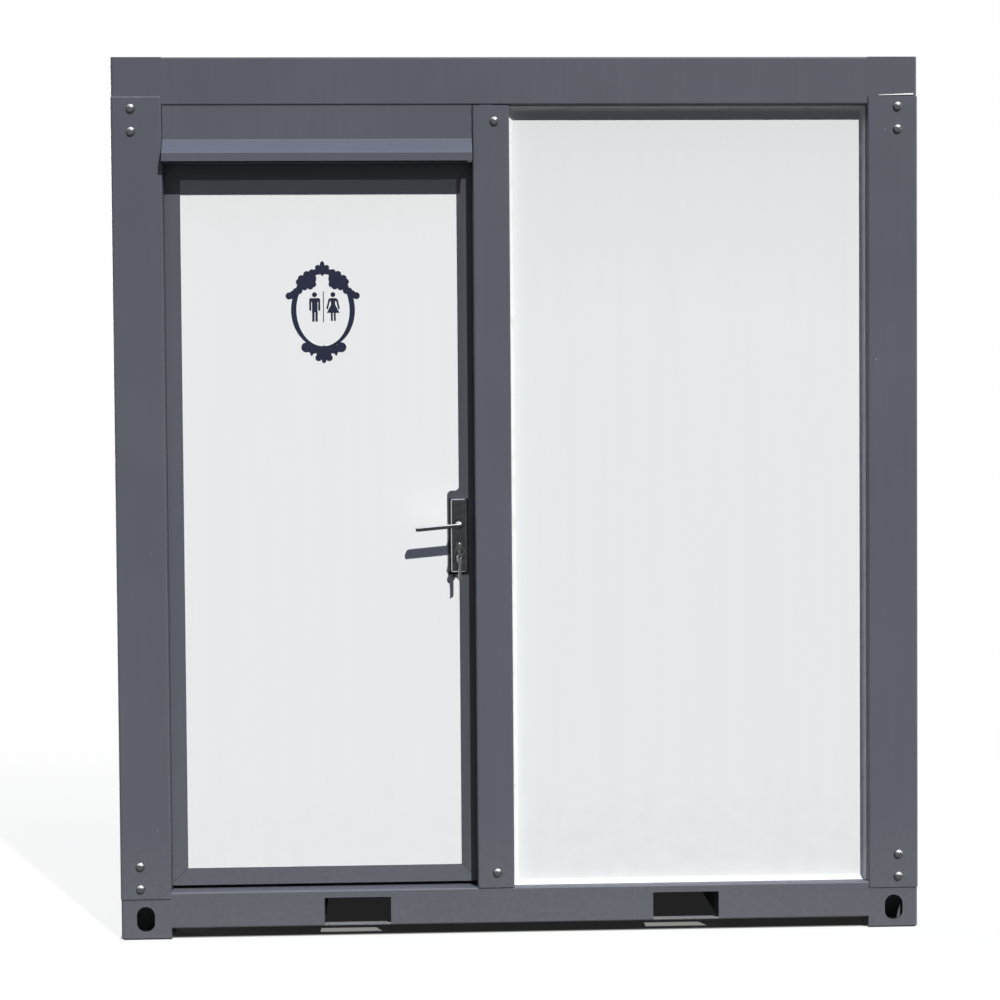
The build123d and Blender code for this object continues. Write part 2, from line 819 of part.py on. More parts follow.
export_step(leaf_hinges.part, "parts/door_hinges_leaf.step")


# Levers: a round neck in the lock plate and a flat, slightly drooping bar that points to the hinges
droop = radians(lever_droop_degrees)
bar_plane = Plane(
    origin=(lock_x, 0, lever_z),
    x_dir=(cos(droop), 0, sin(droop)),
    z_dir=(-sin(droop), 0, cos(droop)),
)
for name, plate_face, outward in (("outside", leaf_front, -1), ("inside", leaf_back, 1)):
    neck_start = plate_face + outward * neck_seat
    bar_front = plate_face + outward * lever_projection
    bar_back = bar_front - outward * lever_depth
    with BuildPart() as lever:
        with BuildSketch(bar_plane.offset(-lever_height / 2)) as bar:
            with Locations((lever_neck_radius, (bar_front + bar_back) / 2)):
                Rectangle(
                    lever_length + lever_neck_radius,
                    lever_depth,
                    align=(Align.MAX, Align.CENTER),
                )
            ends = bar.vertices().sort_by(Axis.X)
            fillet(ends[:2], radius=lever_tip_radius)
            elbow = (lever_neck_radius, bar_front, 0)
            fillet(bar.vertices().sort_by_distance(elbow)[0], radius=lever_elbow_radius)
        extrude(amount=lever_height)
        chamfer(lever.faces().sort_by(Axis.Z)[-1].edges(), length=lever_edge_bevel)
        chamfer(lever.faces().sort_by(Axis.Z)[0].edges(), length=lever_edge_bevel)
        with BuildSketch(Plane.XZ.offset(-neck_start)):
            with Locations((lock_x, lever_z)):
                Circle(lever_neck_radius)
        extrude(amount=-outward * (lever_projection - lever_depth - neck_seat + lever_edge_bevel))
    lever.part.label = "lever_" + name
    export_step(lever.part, "parts/lever_" + name + ".step")

with BuildPart() as spindle:
    with BuildSketch(Plane.XZ.offset(-leaf_front + neck_seat)):
        with Locations((lock_x, lever_z)):
            Rectangle(spindle_side, spindle_side)
    extrude(amount=-(leaf_thickness + 2 * neck_seat))
spindle.part.label = "lever_spindle"
export_step(spindle.part, "parts/lever_spindle.step")


# Keys: one in the cylinder, a flat ring through its bow, a second key on the ring
cylinder_face = leaf_front - plate_thickness - cylinder_proud
bow_y = cylinder_face - key_reach - key_bow_radius
ring_hole_y = bow_y - key_bow_radius / 2
ring_drop = key_hole_radius - ring_wire - ring_gap
ring_z = cylinder_z - ring_drop - ring_radius
second_hole_z = ring_z - ring_radius - ring_drop + turned_key_room
second_bow_z = second_hole_z - key_bow_radius / 2
blade_tip_z = second_bow_z - key_bow_radius - key_blade_length
teeth_z = blade_tip_z + key_tooth_pitch * (key_tooth_count + 1) / 2
second_key_plane = Plane(
    origin=(lock_x, ring_hole_y, 0),
    x_dir=(cos(radians(key_turn_degrees)), sin(radians(key_turn_degrees)), 0),
    z_dir=(sin(radians(key_turn_degrees)), -cos(radians(key_turn_degrees)), 0),
)
with BuildPart() as keys:
    with BuildSketch(Plane.YZ.offset(lock_x - key_thickness / 2)):
        with Locations((bow_y, cylinder_z)):
            Circle(key_bow_radius)
        with Locations((cylinder_face, cylinder_z)):
            Rectangle(key_reach + key_bow_radius, key_shank, align=(Align.MAX, Align.CENTER))
        with Locations((ring_hole_y, cylinder_z)):
            Circle(key_hole_radius, mode=Mode.SUBTRACT)
    extrude(amount=key_thickness)
    with BuildSketch(second_key_plane):
        with Locations((0, second_bow_z)):
            Circle(key_bow_radius)
            Rectangle(key_shank, key_bow_radius + key_blade_length, align=(Align.CENTER, Align.MAX))
        with Locations((0, second_hole_z)):
            Circle(key_hole_radius, mode=Mode.SUBTRACT)
        with Locations((-key_shank / 2, teeth_z)):
            with GridLocations(0, key_tooth_pitch, 1, key_tooth_count):
                Polygon(
                    (0, -key_tooth_pitch / 2),
                    (key_tooth_depth, 0),
                    (0, key_tooth_pitch / 2),
                    align=None,
                    mode=Mode.SUBTRACT,
                )
    extrude(amount=key_thickness / 2, both=True)
    with BuildSketch(Plane.XZ.offset(-ring_hole_y)):
        with Locations((lock_x, ring_z)):
            Circle(ring_radius + ring_wire)
            Circle(ring_radius - ring_wire, mode=Mode.SUBTRACT)
    extrude(amount=ring_wire, both=True)
keys.part.label = "door_keys"
export_step(keys.part, "parts/door_keys.step")
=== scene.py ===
# %% [markdown]
# # A portable toilet cabin
#
# The cabin is a bolted steel frame, filled with white sandwich panels, with one
# door under a small drip canopy. Its sheet-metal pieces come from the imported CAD
# model and stay where they are. This lesson gives each of them a finish, and models
# what the CAD model leaves to it: bolts, trim beads, the door seal, welds, the levers'
# final form, screws and the sign on the door.

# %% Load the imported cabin
import json
from math import atan2, cos, pi, radians, sin

import bmesh
import bpy
from mathutils import Matrix, Vector


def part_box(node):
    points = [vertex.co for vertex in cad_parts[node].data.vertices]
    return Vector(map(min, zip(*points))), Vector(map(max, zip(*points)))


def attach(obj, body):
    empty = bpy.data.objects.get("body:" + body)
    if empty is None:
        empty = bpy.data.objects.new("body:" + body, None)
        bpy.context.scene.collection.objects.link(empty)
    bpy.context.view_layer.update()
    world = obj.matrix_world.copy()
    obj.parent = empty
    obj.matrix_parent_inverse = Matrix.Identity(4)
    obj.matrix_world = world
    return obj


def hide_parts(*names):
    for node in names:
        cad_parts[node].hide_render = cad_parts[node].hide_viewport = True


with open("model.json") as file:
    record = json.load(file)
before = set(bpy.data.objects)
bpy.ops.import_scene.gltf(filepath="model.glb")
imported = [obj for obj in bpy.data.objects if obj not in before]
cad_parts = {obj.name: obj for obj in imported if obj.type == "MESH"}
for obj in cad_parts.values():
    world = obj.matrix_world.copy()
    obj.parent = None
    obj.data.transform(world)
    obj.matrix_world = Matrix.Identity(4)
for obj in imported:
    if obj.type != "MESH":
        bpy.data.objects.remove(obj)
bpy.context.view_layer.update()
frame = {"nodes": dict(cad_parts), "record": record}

mm = 0.001
print("CAD nodes:", len(frame["nodes"]))

# %% [markdown]
# ## Camera
#
# The photograph was taken from about six metres in front of the cabin, at chest
# height and a little left of its middle. A camera could be turned by eye, but three
# measured angles are easier to repeat, so its axes are worked out from them.

# %% Set the camera
front_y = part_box("front_mullion")[0].y
eye_aside, eye_distance, eye_height = -0.3155, 6.0, 1.363
eye = Vector((eye_aside, front_y - eye_distance, eye_height))
yaw, pitch, roll = radians(2.52), radians(2.07), radians(-0.43)
focal_length = 82.6

forward = Vector((sin(yaw) * cos(pitch), cos(yaw) * cos(pitch), -sin(pitch)))
level_right = Vector((cos(yaw), -sin(yaw), 0))
level_up = level_right.cross(forward)
camera_right = level_right * cos(roll) + level_up * sin(roll)
camera_up = level_up * cos(roll) - level_right * sin(roll)

bpy.ops.object.camera_add()
camera = bpy.context.object
camera_turn = Matrix((camera_right, camera_up, -forward)).transposed().to_4x4()
camera.matrix_world = Matrix.Translation(eye) @ camera_turn
camera.data.lens = focal_length
bpy.context.scene.camera = camera
print("camera at", [round(v, 3) for v in eye])

# %% [markdown]
# ## Small helpers
#
# Blender's colour sockets take linear numbers, while colours are easier to read as
# sRGB hex codes, so one function turns the one into the other. Another adds a
# shader node and fills its sockets, which keeps each material short.

# %% Colours and shader nodes


def linear(code):
    """A hex colour as the linear red, green, blue and alpha that a colour socket takes."""
    shares = [int(code[i:i + 2], 16) / 255 for i in (1, 3, 5)]
    return [s / 12.92 if s <= 0.04045 else ((s + 0.055) / 1.055) ** 2.4 for s in shares] + [1.0]


def per_metre(size_mm):
    """The texture scale that makes a pattern's features about this many millimetres wide."""
    return 1000 / size_mm


def add(tree, kind, inputs=None, **settings):
    """Add one shader node: settings are its options, inputs its values or what is linked to them."""
    made = tree.nodes.new("ShaderNode" + kind)
    for name, value in settings.items():
        setattr(made, name, value)
    for key, value in (inputs or {}).items():
        if isinstance(key, int):
            socket = made.inputs[key]
        else:
            socket = next(s for s in made.inputs if s.name == key and s.enabled)
        if isinstance(value, bpy.types.Node):
            value = next(s for s in value.outputs if s.enabled)
        if isinstance(value, bpy.types.NodeSocket):
            tree.links.new(value, socket)
        else:
            socket.default_value = value
    return made


def new_material(name):
    """An empty node material, its node tree and the object's own coordinates."""
    made = bpy.data.materials.new(name)
    made.use_nodes = True
    made.node_tree.nodes.clear()
    return made, made.node_tree, add(made.node_tree, "TexCoord").outputs["Object"]


# %% [markdown]
# ## Light and floor
#
# The photograph has hard sunlight from the upper right and a white background. One
# sun lamp gives the shadows under the canopy and beside the posts, and a wide, bluish
# one from above is the sky on what faces up. Two low, soft lamps from behind and from
# the side let the other walls be seen, and can't reach the front. The floor and the
# sky are white where the camera or a reflection looks at them, and dark for the light
# that bounces back, so the recesses stay dark.

# %% Hang the lamps
scene = bpy.context.scene
scene.view_settings.view_transform = "Standard"


def sun(name, travel, strength, width_degrees, colour="#ffffff"):
    """A sun lamp whose light travels that way, with that apparent width."""
    bpy.ops.object.light_add(type="SUN")
    lamp = bpy.context.object
    lamp.name = name
    lamp.rotation_euler = Vector(travel).to_track_quat("-Z", "Y").to_euler()
    lamp.data.energy = strength
    lamp.data.angle = radians(width_degrees)
    lamp.data.color = linear(colour)[:3]


sun("sunlight", (-0.38, 1.0, -0.96), 4.18, 0.8, "#fffefa")
sun("open_sky", (0.0, 0.2, -1.0), 0.75, 60, "#c0cfff")
sun("rear_light", (0.9, -1.0, -0.15), 3.0, 20)
sun("side_light", (-1.0, -0.1, -0.1), 1.5, 20)

# %% Make the sky white to look at


def seen_ray(tree):
    """1 for rays from the camera, and for rays that a gloss or a glass sends on."""
    path = add(tree, "LightPath").outputs
    some = add(tree, "Math", {0: path["Is Camera Ray"], 1: path["Is Glossy Ray"]}, operation="MAXIMUM")
    return add(tree, "Math", {0: some, 1: path["Is Transmission Ray"]}, operation="MAXIMUM")


world = bpy.data.worlds.new("white_sky")
scene.world = world
world.use_nodes = True
sky = world.node_tree
sky.nodes.clear()
sky_light = add(sky, "Background", {"Color": linear("#b9caf8"), "Strength": 0.058})
sky_white = add(sky, "Background", {"Color": (1, 1, 1, 1), "Strength": 1.0})
sky_mix = add(sky, "MixShader", {0: seen_ray(sky), 1: sky_light, 2: sky_white})
add(sky, "OutputWorld", {"Surface": sky_mix})
print("sky nodes:", len(sky.nodes))

# %% Lay the floor
floor_size = 40.0
floor_drop = 0.5 * mm
shadow_reach = 2.5
contact_share = 0.002
white_at_foot = 0.015
white_beside = 0.88
sunlit_strip = 26 * mm
bpy.ops.object.select_all(action="DESELECT")
bpy.ops.mesh.primitive_plane_add(size=floor_size, location=(0, 0, -floor_drop))
floor = bpy.context.object
floor.name = "floor"

foot_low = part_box("corner_block_front_left")[0]
foot_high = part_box("corner_block_rear_right")[1]
foot_middle = (foot_low + foot_high) / 2
foot_half = (foot_high - foot_low) / 2

pale_floor, tree, place = new_material("pale_floor")
centred = add(tree, "Mapping", {"Vector": place, "Location": (-foot_middle.x, -foot_middle.y, 0)})
spot = add(tree, "SeparateXYZ", {"Vector": centred}).outputs
across = add(tree, "Math", {0: spot["X"]}, operation="ABSOLUTE")
along = add(tree, "Math", {0: spot["Y"]}, operation="ABSOLUTE")
beyond_x = add(tree, "Math", {0: across, 1: foot_half.x}, operation="SUBTRACT")
beyond_y = add(tree, "Math", {0: along, 1: foot_half.y - sunlit_strip}, operation="SUBTRACT")
beyond = add(tree, "Math", {0: beyond_x, 1: beyond_y}, operation="MAXIMUM")
reach = add(tree, "MapRange", {"Value": beyond, "From Min": 0.0, "From Max": shadow_reach})
white_fade_and_foot_shade = add(tree, "ValToRGB", {"Fac": reach})
stops = white_fade_and_foot_shade.color_ramp.elements
stops[0].color = (white_at_foot, white_at_foot, white_at_foot, 1)
stops[1].color = (1, 1, 1, 1)
stops.new(contact_share).color = (white_beside, white_beside, white_beside, 1)
seen = seen_ray(tree)
# Under the cabin the floor's own colour is a mid grey: painted shade beneath it, over its real shadow.
ground = add(tree, "Mix", {"Factor": white_fade_and_foot_shade, "A": linear("#8f8f8d"), "B": linear("#f6f6f6")}, data_type="RGBA")
ground = add(tree, "Mix", {"Factor": seen, "A": linear("#3c3c3c"), "B": ground}, data_type="RGBA")
dull = add(tree, "BsdfDiffuse", {"Color": ground})
white = add(tree, "Emission", {"Color": (1, 1, 1, 1), "Strength": 1.0})
white_share = add(tree, "Math", {0: white_fade_and_foot_shade, 1: seen}, operation="MULTIPLY")
floor_mix = add(tree, "MixShader", {0: white_share, 1: dull, 2: white})
add(tree, "OutputMaterial", {"Surface": floor_mix})
floor.data.materials.append(pale_floor)
print("floor:", floor_size, "m wide")

# %% [markdown]
# ## Slate-grey powder coat
#
# The frame is folded steel with a polyester powder coat: a satin slate grey with a
# fine orange peel. Out of doors it chalks in patches, and rain leaves faint upright
# streaks. What faces up is painted lighter and bluer, as painted light of the sky on it,
# and the coat turns evenly lighter towards the ground. Splashed dust collects near the
# ground, and lifting forks scrape it off below their pockets. Noise at real sizes draws
# these on every piece alike, most of it so faint that the paint still reads as one
# colour. The lock stile and the pad round the lock get a darker coat.

# %% Powder coat for the frame
pocket_x = 433.5 * mm
pocket_half = 88 * mm
pocket_floor = 36.5 * mm
scrape_blur_aside = 3 * mm
scrape_blur_down = 1 * mm


def slate_powder_coat(name, fresh, chalky):
    """Satin powder coat: chalking, rain streaks, low dust, scrapes, orange peel and painted sky light on
    tops.
    """
    made, tree, place = new_material(name)
    spot = add(tree, "SeparateXYZ", {"Vector": place}).outputs
    height = spot["Z"]
    patches = add(tree, "TexNoise", {"Vector": place, "Scale": per_metre(260), "Detail": 4.0})
    chalk = add(tree, "MapRange", {"Value": patches, "From Min": 0.35, "From Max": 0.75, "To Max": 0.5})
    tall = add(tree, "Mapping", {"Vector": place, "Scale": (1, 1, 0.04)})
    streaks = add(tree, "TexNoise", {"Vector": tall, "Scale": per_metre(22), "Detail": 3.0})
    rain = add(tree, "MapRange", {"Value": streaks, "From Min": 0.5, "From Max": 0.8, "To Max": 0.14})
    facing = add(tree, "SeparateXYZ", {"Vector": add(tree, "NewGeometry").outputs["Normal"]}).outputs["Z"]
    # What faces up is painted lighter and bluer: painted light of the sky on it.
    painted_sky_on_tops = add(tree, "MapRange", {"Value": facing, "From Min": 0.3, "From Max": 0.6, "To Max": 0.3})
    # The coat turns evenly lighter towards the ground, over its whole height.
    lighter_towards_ground = add(tree, "MapRange", {"Value": height, "From Min": 2.2, "From Max": 0.0, "To Max": 0.26})
    low = add(tree, "MapRange", {"Value": height, "From Min": 0.42, "From Max": 0.0})
    grit = add(tree, "TexNoise", {"Vector": place, "Scale": per_metre(14), "Detail": 6.0})
    splash = add(tree, "Math", {0: low, 1: grit}, operation="MULTIPLY")
    dust = add(tree, "MapRange", {"Value": splash, "From Min": 0.15, "From Max": 0.75, "To Max": 0.30})
    nicks = add(tree, "TexNoise", {"Vector": place, "Scale": per_metre(9), "Detail": 2.0})
    chips = add(tree, "MapRange", {"Value": nicks, "From Min": 0.82, "From Max": 0.83})

    across = add(tree, "Math", {0: spot["X"]}, operation="ABSOLUTE")
    aside = add(tree, "Math", {0: across, 1: pocket_x}, operation="SUBTRACT")
    aside = add(tree, "Math", {0: aside}, operation="ABSOLUTE")
    full_half = pocket_half - scrape_blur_aside
    full_depth = pocket_floor - scrape_blur_down
    under = add(tree, "MapRange", {"Value": aside, "From Min": pocket_half, "From Max": full_half})
    edge = add(tree, "MapRange", {"Value": height, "From Min": pocket_floor, "From Max": full_depth})
    scrape = add(tree, "Math", {0: under, 1: edge}, operation="MULTIPLY")
    wear_and_painted_highlight = add(tree, "MapRange", {"Value": grit, "From Min": 0.3, "From Max": 0.5, "To Min": 0.5})
    scrape = add(tree, "Math", {0: scrape, 1: wear_and_painted_highlight}, operation="MULTIPLY")

    coat = add(tree, "Mix", {"Factor": chalk, "A": linear(fresh), "B": linear(chalky)}, data_type="RGBA")
    layers = (
        (lighter_towards_ground, "#6c6f76"), (rain, "#62656e"), (painted_sky_on_tops, "#6c7183"),
        (dust, "#7c7c7e"), (chips, "#b9bbbd"), (scrape, "#8d8f91"),
    )
    for share, tone in layers:
        coat = add(tree, "Mix", {"Factor": share, "A": coat, "B": linear(tone)}, data_type="RGBA")
    sheen = add(tree, "MapRange", {"Value": patches, "To Min": 0.40, "To Max": 0.56})
    peel = add(tree, "TexNoise", {"Vector": place, "Scale": per_metre(5), "Detail": 1.0})
    relief = add(tree, "Bump", {"Height": peel, "Strength": 0.12, "Distance": 0.4 * mm})
    skin = add(tree, "BsdfPrincipled", {
        "Base Color": coat, "Roughness": sheen, "Normal": relief, "Specular IOR Level": 0.3,
    })
    add(tree, "OutputMaterial", {"Surface": skin})
    return made


# %% [markdown]
# ## White coil-coated sheet
#
# The panels are foam between two thin steel sheets, painted white on the coil
# before they were pressed. The sheet is slightly stucco-embossed, so its gloss is
# broken up, and it soils a little at the foot. The wall panels also turn slightly darker
# and bluer towards their top. The embossing is too shallow to model, so it is a bump,
# and the soil is noise drawn over the paint.

# %% Coil coat for the panels


def white_coil_coat(name, paint, soil, top_darkening):
    """Satin white paint on embossed sheet; soil is its dirt all over, top_darkening how much it darkens at
    the top.
    """
    made, tree, place = new_material(name)
    height = add(tree, "SeparateXYZ", {"Vector": place}).outputs["Z"]
    tall = add(tree, "Mapping", {"Vector": place, "Scale": (1, 1, 0.03)})
    streaks = add(tree, "TexNoise", {"Vector": tall, "Scale": per_metre(35), "Detail": 4.0})
    most_run = 0.30 * soil
    runs = add(tree, "MapRange", {"Value": streaks, "From Min": 0.45, "From Max": 0.85, "To Max": most_run})
    low = add(tree, "MapRange", {"Value": height, "From Min": 0.6, "From Max": 0.1})
    clouds = add(tree, "TexNoise", {"Vector": place, "Scale": per_metre(45), "Detail": 6.0})
    splash = add(tree, "Math", {0: low, 1: clouds}, operation="MULTIPLY")
    most_dirt = 0.5 * soil
    dirt = add(tree, "MapRange", {"Value": splash, "From Min": 0.2, "From Max": 0.8, "To Max": most_dirt})
    # Towards the top the sheet turns slightly darker and bluer.
    darker_towards_top = add(tree, "MapRange", {"Value": height, "From Min": 1.6, "From Max": 2.15, "To Max": top_darkening})
    coat = linear(paint)
    for share, tone in ((runs, "#cfd0cd"), (darker_towards_top, "#d3d7d8"), (dirt, "#b5b1a6")):
        coat = add(tree, "Mix", {"Factor": share, "A": coat, "B": linear(tone)}, data_type="RGBA")
    stucco = add(tree, "TexVoronoi", {"Vector": place, "Scale": per_metre(7)}, feature="SMOOTH_F1")
    relief = add(tree, "Bump", {"Height": stucco, "Strength": 0.08, "Distance": 0.3 * mm})
    skin = add(tree, "BsdfPrincipled", {
        "Base Color": coat, "Roughness": 0.45, "Normal": relief, "Specular IOR Level": 0.25,
    })
    add(tree, "OutputMaterial", {"Surface": skin})
    return made


# %% [markdown]
# ## Metals of the lock, the bolts and the hinges
#
# The lock plate is polished and mirrors a dark yard, with a bright bevelled rim.
# A mirror only shows what stands around it, so the dark face is a dark metal here, a
# painted reflection, and a mask on the object's coordinates paints the rim bright as a
# highlight. Bolts and hinges are zinc plated, keys and cylinder nickel plated, with fine
# scratches. Like the levers, they are darker than the bare metal, as a painted reflection
# of dark surroundings, and what faces up is painted bright as a highlight.

# %% Lock, zinc and nickel
plate_low, plate_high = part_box("lock_plates")
rim_width = 2.6 * mm
rim_blur = 0.3 * mm


def plate_steel():
    """Polished lock plate: a dark face with smears, a painted dark reflection, inside a painted bright rim.
    """
    made, tree, place = new_material("polished_plate_steel")
    spot = add(tree, "SeparateXYZ", {"Vector": place}).outputs
    middle = (plate_low + plate_high) / 2
    half = (plate_high - plate_low) / 2

    def past_rim(along, centre, half_size):
        """How far a point lies past the inner edge of the rim, along one axis."""
        offset = add(tree, "Math", {0: along, 1: centre}, operation="SUBTRACT")
        distance = add(tree, "Math", {0: offset}, operation="ABSOLUTE")
        return add(tree, "Math", {0: distance, 1: half_size - rim_width}, operation="SUBTRACT")

    far_x = past_rim(spot["X"], middle.x, half.x)
    far_z = past_rim(spot["Z"], middle.z, half.z)
    far = add(tree, "Math", {0: far_x, 1: far_z}, operation="MAXIMUM")
    rim = add(tree, "MapRange", {"Value": far, "From Min": -rim_blur, "From Max": rim_blur})
    smears = add(tree, "TexNoise", {"Vector": place, "Scale": per_metre(16), "Detail": 4.0})
    # The face is painted dark as a reflection of dark surroundings; the rim is painted bright as a highlight.
    mirror_tones = {"Factor": smears, "A": linear("#232425"), "B": linear("#4c4d4e")}
    mirror = add(tree, "Mix", mirror_tones, data_type="RGBA")
    metal = add(tree, "Mix", {"Factor": rim, "A": mirror, "B": linear("#d6d8da")}, data_type="RGBA")
    dull = add(tree, "MapRange", {"Value": smears, "To Min": 0.12, "To Max": 0.30})
    skin = add(tree, "BsdfPrincipled", {"Base Color": metal, "Roughness": dull, "Metallic": 1.0})
    add(tree, "OutputMaterial", {"Surface": skin})
    return made


def plated_metal(name, dark, light, least_rough, most_rough, top_highlight=0.0):
    """Plated metal between two tones, with hairline scratches; top_highlight paints what faces up bright."""
    made, tree, place = new_material(name)
    drawn = add(tree, "Mapping", {"Vector": place, "Scale": (1, 1, 0.15)})
    hairs = add(tree, "TexNoise", {"Vector": drawn, "Scale": per_metre(1.2), "Detail": 3.0})
    tone = add(tree, "Mix", {"Factor": hairs, "A": linear(dark), "B": linear(light)}, data_type="RGBA")
    if top_highlight:
        facing = add(tree, "SeparateXYZ", {"Vector": add(tree, "NewGeometry").outputs["Normal"]}).outputs["Z"]
        # What faces up is painted bright: a painted highlight.
        wear_and_painted_highlight = add(tree, "MapRange", {"Value": facing, "From Min": 0.15, "From Max": 0.6, "To Max": top_highlight})
        tone = add(tree, "Mix", {"Factor": wear_and_painted_highlight, "A": tone, "B": linear("#e9eaeb")}, data_type="RGBA")
    dull = add(tree, "MapRange", {"Value": hairs, "To Min": least_rough, "To Max": most_rough})
    relief = add(tree, "Bump", {"Height": hairs, "Strength": 0.05, "Distance": 0.1 * mm})
    skin = add(tree, "BsdfPrincipled", {
        "Base Color": tone, "Roughness": dull, "Metallic": 1.0, "Normal": relief,
    })
    add(tree, "OutputMaterial", {"Surface": skin})
    return made


# %% [markdown]
# ## Vinyl, primer, rubber and plastic
#
# The floor is speckled safety vinyl on board, and the hidden underframe has only a
# matt primer with dust on it. The door shuts on black rubber, the wall panels sit
# in white silicone beads, joints are filled with slate sealant, and the sign is cut
# from navy film. They differ in tone, grain and gloss alone, so one function makes all.

# %% Floor, underframe, rubber, plastic and film


def speckled(name, ground, fleck, size_mm, share, roughness, gloss=0.5):
    """A dull material with small flecks of a second tone and a grain of the same size."""
    made, tree, place = new_material(name)
    grains = add(tree, "TexNoise", {"Vector": place, "Scale": per_metre(size_mm), "Detail": 5.0})
    flecks = add(tree, "MapRange", {"Value": grains, "From Min": 0.52, "From Max": 0.70, "To Max": share})
    tone = add(tree, "Mix", {"Factor": flecks, "A": linear(ground), "B": linear(fleck)}, data_type="RGBA")
    relief = add(tree, "Bump", {"Height": grains, "Strength": 0.10, "Distance": 0.2 * mm})
    skin = add(tree, "BsdfPrincipled", {
        "Base Color": tone, "Roughness": roughness, "Normal": relief, "Specular IOR Level": gloss,
    })
    add(tree, "OutputMaterial", {"Surface": skin})
    return made


# %% [markdown]
# ## All the finishes
#
# Each finish of the cabin is made once and shared by the pieces that have it. They could
# be made where they are used, but in one list their tones are easier to compare.

# %% Make every finish
# Coats of paint: the tones, and on white sheet the soil all over it and how much it darkens towards its top.
powder_coat = slate_powder_coat("slate_powder_coat", "#4a4d56", "#52555e")
# The lock stile and the pad round the lock get a darker coat.
darker_lock_coat = slate_powder_coat("darker_lock_powder_coat", "#35353d", "#3b3c44")
wall_coat = white_coil_coat("white_coil_coat", "#e5e8e9", 0.35, 0.5)
door_coat = white_coil_coat("white_door_coat", "#e7e9eb", 0.25, 0.0)
roof_coat = white_coil_coat("weathered_roof_coat", "#c2c5c4", 1.2, 0.0)
# Metals: the dark and the light tone, the least and the most roughness, and the share of painted
# highlight on what faces up. The dark tones are partly a painted reflection of dark surroundings.
plate_metal = plate_steel()
lever_steel = plated_metal("polished_lever_steel", "#242526", "#4a4b4d", 0.14, 0.30, 0.9)
zinc = plated_metal("zinc_plated_steel", "#3e4043", "#6a6c6f", 0.28, 0.40, 0.85)
nickel = plated_metal("nickel_plated_brass", "#38393a", "#6e6f70", 0.16, 0.30, 0.8)
# The bare weld's bright tones are a painted glint along a rounded weld.
bright_weld_highlight = plated_metal("bare_weld_painted_glint", "#a8aaac", "#f0f1f2", 0.35, 0.50)
# The rest: ground and fleck, the fleck's size in millimetres, its share, roughness and gloss.
floor_vinyl = speckled("speckled_safety_vinyl", "#6f7275", "#a3a6a8", 4, 0.8, 0.6)
primer = speckled("matt_underframe_primer", "#43464c", "#6e6a60", 18, 0.6, 0.8)
rubber = speckled("black_epdm_rubber", "#141515", "#2a2b2b", 6, 0.5, 0.75, 0.12)
bead_white = speckled("white_silicone_bead", "#eceeee", "#d9d9d5", 30, 0.5, 0.4, 0.25)
navy_film = speckled("navy_sign_film", "#23273a", "#2d3248", 9, 0.4, 0.5, 0.12)
# A zinc primer, made darker as painted shade inside the fork pockets.
pocket_zinc_shade = speckled("zinc_primer_painted_pocket_shade", "#3c3e40", "#5c5d5d", 25, 0.7, 0.7, 0.2)
# The weld paint is pale as a painted highlight along a rounded weld.
pale_weld_highlight = speckled("weld_paint_painted_highlight", "#84878d", "#a2a4a8", 8, 0.6, 0.6, 0.3)
sealant = speckled("slate_joint_sealant", "#3f4148", "#4d4f55", 12, 0.5, 0.6, 0.2)
print("materials:", len(bpy.data.materials))

# %% [markdown]
# ## Finishes on the CAD pieces
#
# Each CAD piece keeps its shape and only gets a finish. The record already says
# which piece is painted, white or plated, so its material slots choose the finish,
# and the few that differ are named.

# %% Give every CAD piece its finish
slot_finish = {
    "frame_grey": powder_coat,
    "underframe_grey": primer,
    "panel_white": wall_coat,
    "floor_vinyl": floor_vinyl,
    "lock_chrome": lever_steel,
    "bare_steel": zinc,
    "nickel": nickel,
}
own_finish = {
    "roof_panel": roof_coat,
    "door_panel": door_coat,
    "door_stile_lock": darker_lock_coat,
    "lock_pad": darker_lock_coat,
    "lock_plates": plate_metal,
    "fork_channels": pocket_zinc_shade,
}
for subpart in frame["record"]["subparts"]:
    name = subpart["node"]
    finish = own_finish.get(name, slot_finish[subpart["material_slot"]])
    surface = frame["nodes"][name].data
    surface.materials.clear()
    surface.materials.append(finish)

# %% [markdown]
# ## Modelling by hand, in code
#
# A new piece starts as a primitive and is shaped in edit mode, as by hand. With no
# mouse, faces and edges are picked by where they are or where they face, so small
# helpers start a piece, pick some of it, draw it out, finish it and repeat it.

# %% Helpers for modelling
# Picking compares a normal or a place with nearly all of its full size, or with hardly any.
most = 0.9
slight = 0.1


def start(name, shape, **sizes):
    """Add a primitive such as a cube or a plane, and open it in edit mode with all of it picked."""
    bpy.ops.object.select_all(action="DESELECT")
    getattr(bpy.ops.mesh, "primitive_" + shape + "_add")(**sizes)
    piece = bpy.context.object
    piece.name = name
    bpy.ops.object.mode_set(mode="EDIT")
    bpy.ops.mesh.select_all(action="SELECT")
    return piece


def pick(piece, kind, test):
    """Select the faces or edges whose middle and normal pass the test, and nothing else."""
    bpy.ops.mesh.select_mode(type="FACE" if kind == "faces" else "EDGE")
    bpy.ops.mesh.select_all(action="DESELECT")
    shape = bmesh.from_edit_mesh(piece.data)
    for item in getattr(shape, kind):
        middle = sum((v.co for v in item.verts), Vector()) / len(item.verts)
        item.select_set(bool(test(middle, item.normal if kind == "faces" else None)))
    bmesh.update_edit_mesh(piece.data)


def draw_out(*travel):
    """Extrude what is picked, and move its new end that far along X, Y and Z."""
    bpy.ops.mesh.extrude_region_move(TRANSFORM_OT_translate={"value": travel})


